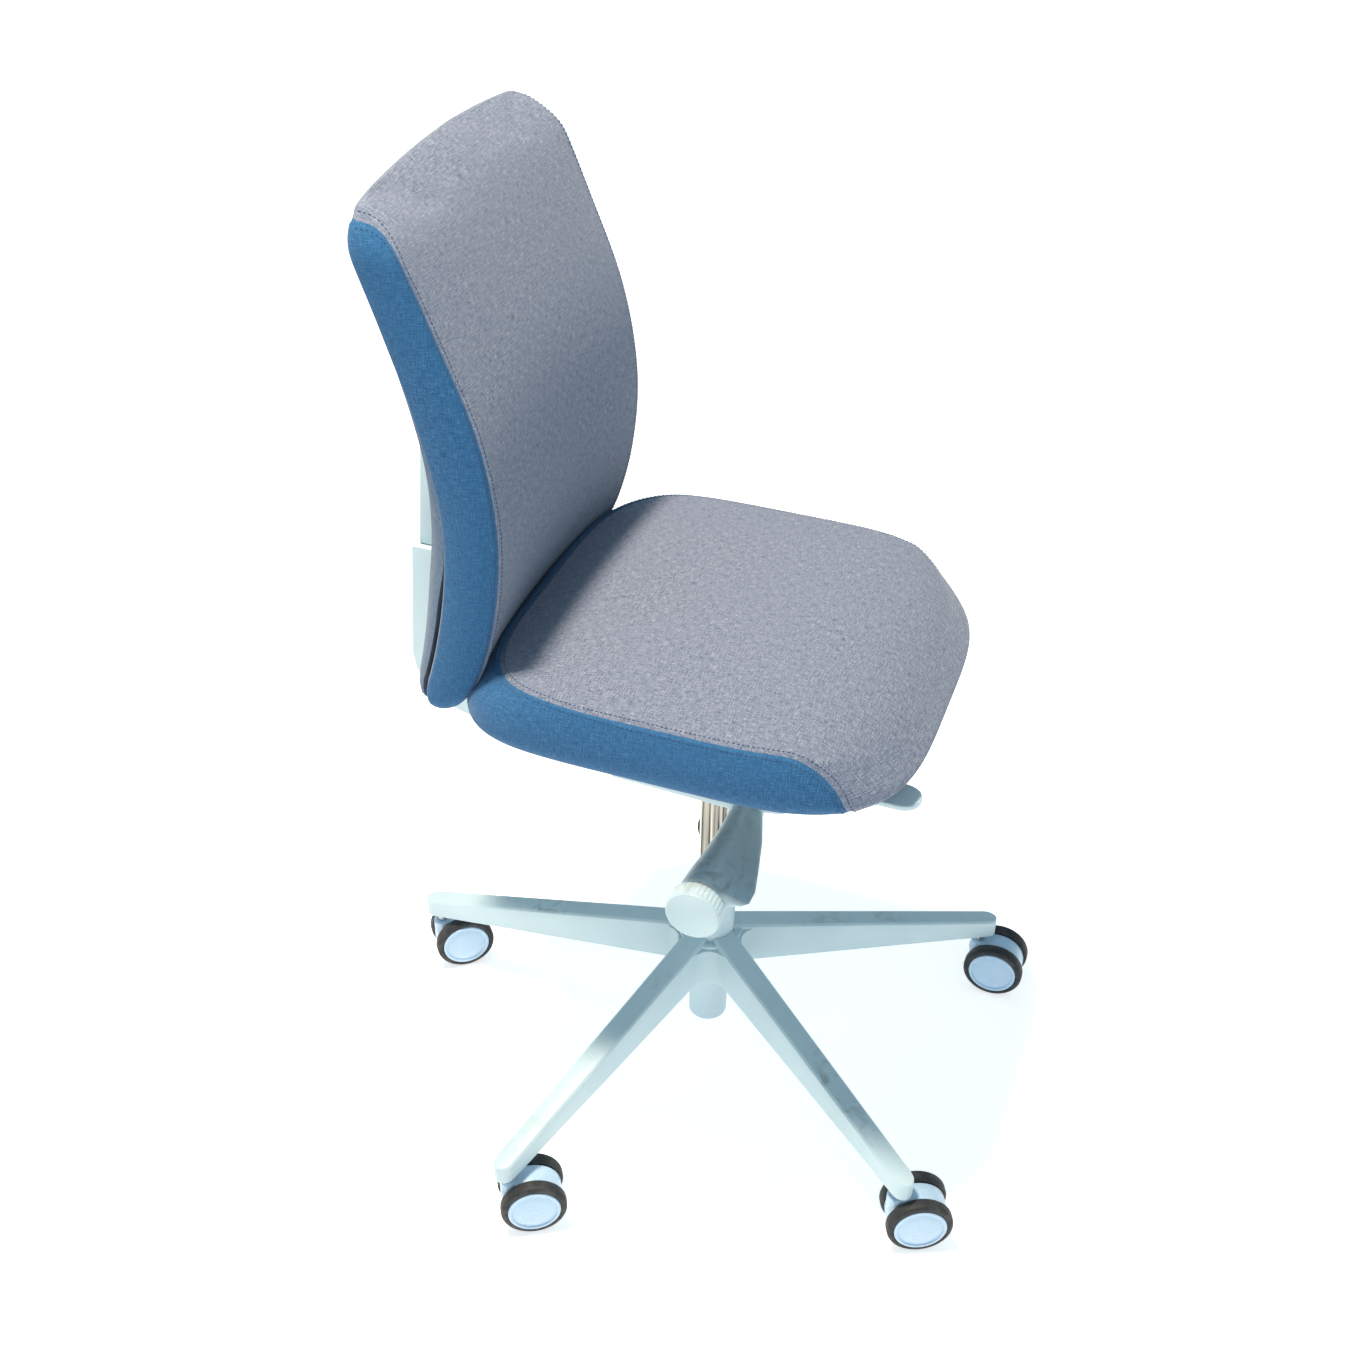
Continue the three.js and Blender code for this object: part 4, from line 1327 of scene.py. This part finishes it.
@dataclass
class BackCushion:
    """The back: a front panel that wraps over the top, with a gusset sewn down each side."""

    bottom_radius: float = 0.020
    top_radius: float = 0.044
    top_crown: float = 0.015
    columns: int = 208
    seam_inset: float = 0.009
    gusset_top: float = 0.022
    gusset_corner: float = 0.030
    hollow: float = 0.008
    lumbar_hollow: float = 0.014
    lumbar_height: float = 0.690
    lumbar_run: float = 0.120
    top_run: float = 0.034
    front_pull: float = 0.50
    rear_pull: float = 0.34
    tuck: float = 0.18
    tuck_run: float = 0.03
    front_knots: tuple[tuple[float, float], ...] = (
        (0.480, 0.197), (0.555, 0.162), (0.630, 0.146), (0.705, 0.144), (0.785, 0.158), (0.865, 0.189),
        (0.940, 0.222), (0.980, 0.246))
    rear_knots: tuple[tuple[float, float], ...] = (
        (0.480, 0.236), (0.560, 0.212), (0.640, 0.198), (0.705, 0.197), (0.785, 0.213), (0.865, 0.238),
        (0.940, 0.264), (0.980, 0.273))

    def __post_init__(self) -> None:
        """Reads the cushion's box and the column's place from the frame."""
        low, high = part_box("back_cushion")
        self.half_width = (high.x - low.x) / 2 - 0.001
        self.low, self.high = low.z + 0.001, high.z - 0.001
        self.middle_z = (low.z + high.z) / 2
        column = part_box("gas_cylinder")
        self.column_y = (column[0].y + column[1].y) / 2

    def curve(self, knots: Sequence[Pair], z: float) -> float:
        """A smooth curve through (height, depth) knots, from the column's axis."""
        last = len(knots) - 1
        i = min(max(1, next((k for k, knot in enumerate(knots) if knot[0] >= z), last)), last)
        (z0, y0), (z1, y1) = knots[i - 1], knots[i]

        def slope(k: int) -> float:
            """Slope at a knot."""
            a, b = knots[max(0, k - 1)], knots[min(len(knots) - 1, k + 1)]
            return (b[1] - a[1]) / (b[0] - a[0])

        span, t, rise = z1 - z0, (z - z0) / (z1 - z0), y1 - y0
        s0, s1 = slope(i - 1) * span, slope(i) * span
        return self.column_y + y0 + t * s0 + t * t * (3 * rise - 2 * s0 - s1) + t ** 3 * (s0 + s1 - 2 * rise)

    def outline(self, inset: float) -> list[Pair]:
        """The front outline as (x, z), evenly spaced: round corners and a crowned top."""
        half = self.half_width - inset
        low, high = self.low + inset, self.high - inset
        dense: list[Pair] = []
        for sign_x, sign_z, start in ((1, 1, 0), (-1, 1, 90), (-1, -1, 180), (1, -1, 270)):
            radius = max((self.top_radius if sign_z > 0 else self.bottom_radius) - inset, 0.008)
            level = high if sign_z > 0 else low
            centre = (sign_x * (half - radius), level - sign_z * radius)
            dense += arc(centre, radius, start, start + 90, 24)
            if sign_x * sign_z > 0:
                dense += [(sign_x * (half - radius) * (1 - 2 * i / 24), level) for i in range(1, 24)]
        crowned = []
        for x, z in dense:
            share = max(0.0, (z - self.middle_z) / (high - self.middle_z))
            crowned.append((x, z - self.top_crown * share ** 4 * (x / half) ** 2))
        return evenly_spaced(crowned, self.columns)

    def edge_share(self, x: float, z: float) -> float:
        """0 in the middle of the panel, 1 on its outline."""
        half_height = (self.high - self.low) / 2
        u = abs(x) / (self.half_width - self.seam_inset)
        v = abs(z - self.middle_z) / (half_height - self.seam_inset)
        return min(1.0, (u ** 6 + v ** 8) ** (1 / 7))

    def top_pull(self, x: float, z: float) -> float:
        """How far the pad's front and rear draw together over the top, as a half round nose."""
        top = self.high - self.top_crown * (x / self.half_width) ** 2
        near = min(1.0, max(0.0, 1 - (top - z) / self.top_run))
        return 1 - math.sqrt(max(0.0, 1 - near ** 2))

    def front_depth(self, x: float, z: float) -> float:
        """Depth of the front panel: hollow across, most of all low down, and round over the top."""
        rear, edge = self.curve(self.rear_knots, z), self.curve(self.front_knots, z)
        pull = self.top_pull(x, z)
        lumbar = min(1.0, max(0.0, (self.lumbar_height - z) / self.lumbar_run))
        hollow = min(self.hollow + self.lumbar_hollow * lumbar, 0.45 * (rear - edge)) * (1 - pull)
        front = edge + hollow * (1 - (x / self.half_width) ** 2) + self.foot_tuck(z, rear - edge) - 0.005 * (
            1 - self.edge_share(x, z) ** 2.6)
        return front + pull * self.front_pull * (rear - front)

    def foot_tuck(self, z: float, thickness: float) -> float:
        """How far the front and the rear draw in towards the foot of the pad."""
        return self.tuck * thickness * smoothstep((self.low + self.tuck_run - z) / self.tuck_run)

    def rear_depth(self, x: float, z: float) -> float:
        """Depth of the rear of the pad."""
        rear, edge = self.curve(self.rear_knots, z), self.curve(self.front_knots, z)
        pull = self.top_pull(x, z)
        return rear - pull * self.rear_pull * (rear - edge) - self.foot_tuck(z, rear - edge)

    def ring(self, inset: float, share: float) -> list[Vector]:
        """One ring at an inset, a share of the way from the rear to the front."""
        points = []
        for x, z in self.outline(inset):
            rear, front = self.rear_depth(x, z), self.front_depth(x, z)
            points.append(Vector((x, rear + share * (front - rear), z)))
        return points

    def drape(self, place: Vector, is_face: bool) -> Vector:
        """Puts a point of a filled end on its panel."""
        depth = self.front_depth(place.x, place.z) if is_face else self.rear_depth(place.x, place.z)
        return Vector((place.x, depth, place.z))

    def build(self, shop: Workshop) -> None:
        """Models, simulates, sews and dresses the back."""
        rings = [self.ring(extra, 0.0) for extra in (0.040, 0.030, 0.021, 0.014, 0.009)]
        rear_seam = len(rings)
        rings.append(self.ring(0.0055, 0.02))
        edge = [(0.0030, 0.08), (0.0012, 0.17), (0.0002, 0.28), (0.0, 0.40), (0.0, 0.52), (0.0008, 0.64),
                (0.0022, 0.75), (0.0042, 0.85), (0.0062, 0.925), (0.0078, 0.97)]
        rings += [self.ring(extra, share) for extra, share in edge]
        front_seam = len(rings)
        rings.append(self.ring(self.seam_inset, 1.0))
        rings += [self.ring(self.seam_inset + step, 1.0)
                  for step in (0.0022, 0.0046, 0.008, 0.0125, 0.018, 0.025, 0.034, 0.044)]
        form = PaddedForm("back_cushion_cover", rings, self.drape, swell=2.4, cap=0.005)
        form.construct()
        verts = form.obj.data.vertices
        front, rear = form.ring_distances(front_seam), [-d for d in form.ring_distances(rear_seam)]
        side = []
        for v, behind, before in zip(verts, front, rear):
            inside = within_both(behind, self.high - self.gusset_top - v.co.z, self.gusset_corner)
            on_side = abs(v.co.x) > 0.6 * self.half_width and v.index not in form.face_points
            side.append(min(inside, before + 0.001, v.co.z - self.low - 0.004) if on_side else -0.05)
        hidden = 5 * self.columns
        form.simulate([v.index for v in verts
                       if v.index < hidden or abs(side[v.index]) < 0.003 or abs(rear[v.index]) < 0.001])
        form.set_attribute("side", side)

        def in_view(place: Vector) -> bool:
            """Whether a seam point there can be seen."""
            return place.z > self.low + 0.02 and place.y < self.rear_depth(place.x, place.z) - 0.006

        form.sew(shop, "back", "back_cushion", [Seam("side")], in_view)


@dataclass
class BackPanel:
    """The covered panel behind the pad, domed back to the upright, with an open slot low at each side."""

    columns: int = 96

    def build(self, shop: Workshop, pad: BackCushion) -> None:
        """Models and dresses the panel.

        Args:
            shop: The workshop.
            pad: The back cushion that the panel stands behind.
        """
        low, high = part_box("back_panel")
        half = (high.x - low.x) / 2
        heights = [low.z + (high.z - low.z) * i / 40 for i in range(41)]
        rings = []
        for z in heights:
            lift = max(smoothstep((low.z + 0.012 - z) / 0.012), smoothstep((z - high.z + 0.02) / 0.02))
            slot = 0.0035 * smoothstep((0.66 - z) / 0.05)
            front = pad.rear_depth(0, z) + 0.001 + slot
            depth = max(0.003, self.dome(z, pad) - front) * (1 - 0.5 * lift)
            wide = half - 0.002 - 0.010 * lift
            rings.append(self.section(z, wide, front, depth))
        panel = bridged("back_panel_cover", rings)
        form = PaddedForm("back_panel_cover", rings, lambda place, _: place)
        form.obj = panel
        form.set_attribute("side", [-0.05] * len(panel.data.vertices))
        form.lay_weave()
        smooth(panel, 50)
        shop.fit(panel, "back", Finish.SIDE_CLOTH, "back_panel")

    @staticmethod
    def dome(z: float, pad: BackCushion) -> float:
        """Depth of the panel's rear at a height."""
        knots = ((0.480, 0.258), (0.620, 0.244), (0.740, 0.239), (0.820, 0.244), (0.880, 0.256))
        return pad.curve(knots, z)

    def section(self, z: float, wide: float, front: float, depth: float) -> list[Vector]:
        """One level slice of the panel: flat in front, rounded behind."""
        points = []
        half = self.columns // 2
        for i in range(half):
            t = -1 + 2 * i / (half - 1)
            points.append(Vector((wide * t, front, z)))
        for i in range(half):
            t = 1 - 2 * (i + 0.5) / half
            round_share = (1 - abs(t) ** 3.2) ** 0.75
            points.append(Vector((wide * t, front + 0.0015 + (depth - 0.0015) * round_share, z)))
        return points


@dataclass
class BackFrame:
    """The J-shaped arm, the upright, its slider and the height button."""

    def build(self, shop: Workshop) -> None:
        """Refines the moulded parts."""
        shop.refine("back_arm", "arm", Finish.WHITE, 0.004, 4)
        shop.refine("back_upright", "arm", Finish.WHITE, 0.0025, 3)
        shop.refine("back_slider", "back", Finish.BLACK, 0.001)
        shop.refine("back_height_button", "height_button", Finish.GREY, 0.0018, 3)


# ---------------------------------------------------------------- studio


@dataclass
class Studio:
    """Camera, floor and lights."""

    camera_place: tuple[float, float, float] = (-1.3021, -0.4286, 1.4688)
    camera_turn: tuple[float, float, float] = (54.135, -0.349, -69.305)
    lens: float = 47.2
    shift: tuple[float, float] = (0.0229, -0.0055)

    def camera(self) -> None:
        """Places the camera at the wanted viewing angle."""
        data = bpy.data.cameras.new("camera")
        data.lens, data.sensor_width = self.lens, 36.0
        data.shift_x, data.shift_y = self.shift
        obj = bpy.data.objects.new("camera", data)
        obj.location = self.camera_place
        obj.rotation_euler = [math.radians(a) for a in self.camera_turn]
        bpy.context.scene.collection.objects.link(obj)
        bpy.context.scene.camera = obj

    def floor(self) -> None:
        """A plain pale floor."""
        bpy.ops.mesh.primitive_plane_add(size=30, location=(0, 0, -0.0002))
        plane = bpy.context.active_object
        plane.name = "studio_floor"
        sheet = NodeSheet("studio floor")
        tone = sheet.noise(0.7, 2.0, sheet.object_place())
        sheet.feed(sheet.shader.inputs["Base Color"],
                   sheet.mix(sheet.ramp(tone, 0.3, 0.7), (0.90, 0.885, 0.87, 1), (0.92, 0.905, 0.89, 1)))
        sheet.shader.inputs["Roughness"].default_value = 0.9
        sheet.shader.inputs["Emission Color"].default_value = (1.0, 0.99, 0.97, 1.0)
        sheet.shader.inputs["Emission Strength"].default_value = 0.62
        plane.data.materials.append(sheet.material)

    @staticmethod
    def light(name: str, place: Sequence[float], size: float, watts: float, colour: Colour) -> None:
        """Adds a square soft light that faces the chair."""
        data = bpy.data.lights.new(name, "AREA")
        data.shape, data.size, data.energy, data.color = "SQUARE", size, watts, colour
        obj = bpy.data.objects.new(name, data)
        obj.location = place
        obj.rotation_euler = (Vector((0, 0, 0.5)) - Vector(place)).to_track_quat("-Z", "Y").to_euler()
        bpy.context.scene.collection.objects.link(obj)

    def lights(self) -> None:
        """A warm light from overhead, a cool one beside the camera and a pale sky."""
        self.light("warm key", (-0.35, 0.60, 3.4), 0.36, 135.0, (1.0, 0.88, 0.72))
        self.light("cool fill", (-2.8, -1.6, 1.9), 2.6, 10.0, (0.74, 0.89, 1.0))
        world = bpy.data.worlds.new("sky")
        world.use_nodes = True
        sky = world.node_tree.nodes["Background"]
        sky.inputs["Color"].default_value = (0.62, 0.85, 1.0, 1.0)
        sky.inputs["Strength"].default_value = 0.50
        bpy.context.scene.world = world

    def build(self) -> None:
        """Sets up the whole studio."""
        self.camera()
        self.floor()
        self.lights()
        bpy.context.scene.view_settings.view_transform = "Standard"


def main() -> None:
    """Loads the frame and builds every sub-assembly in order."""
    logging.basicConfig(level=logging.INFO, format="%(name)s: %(message)s", stream=sys.stdout)
    shop = Workshop(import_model())
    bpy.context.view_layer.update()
    Studio().build()
    StarBase().build(shop)
    GasLift().build(shop)
    Caster().build_all(shop)
    Mechanism().build(shop)
    SideControls().build(shop)
    SeatCushion().build(shop)
    SeatPan().build(shop)
    pad = BackCushion()
    pad.build(shop)
    BackPanel().build(shop, pad)
    BackFrame().build(shop)
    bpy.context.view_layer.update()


if __name__ == "__main__":
    main()
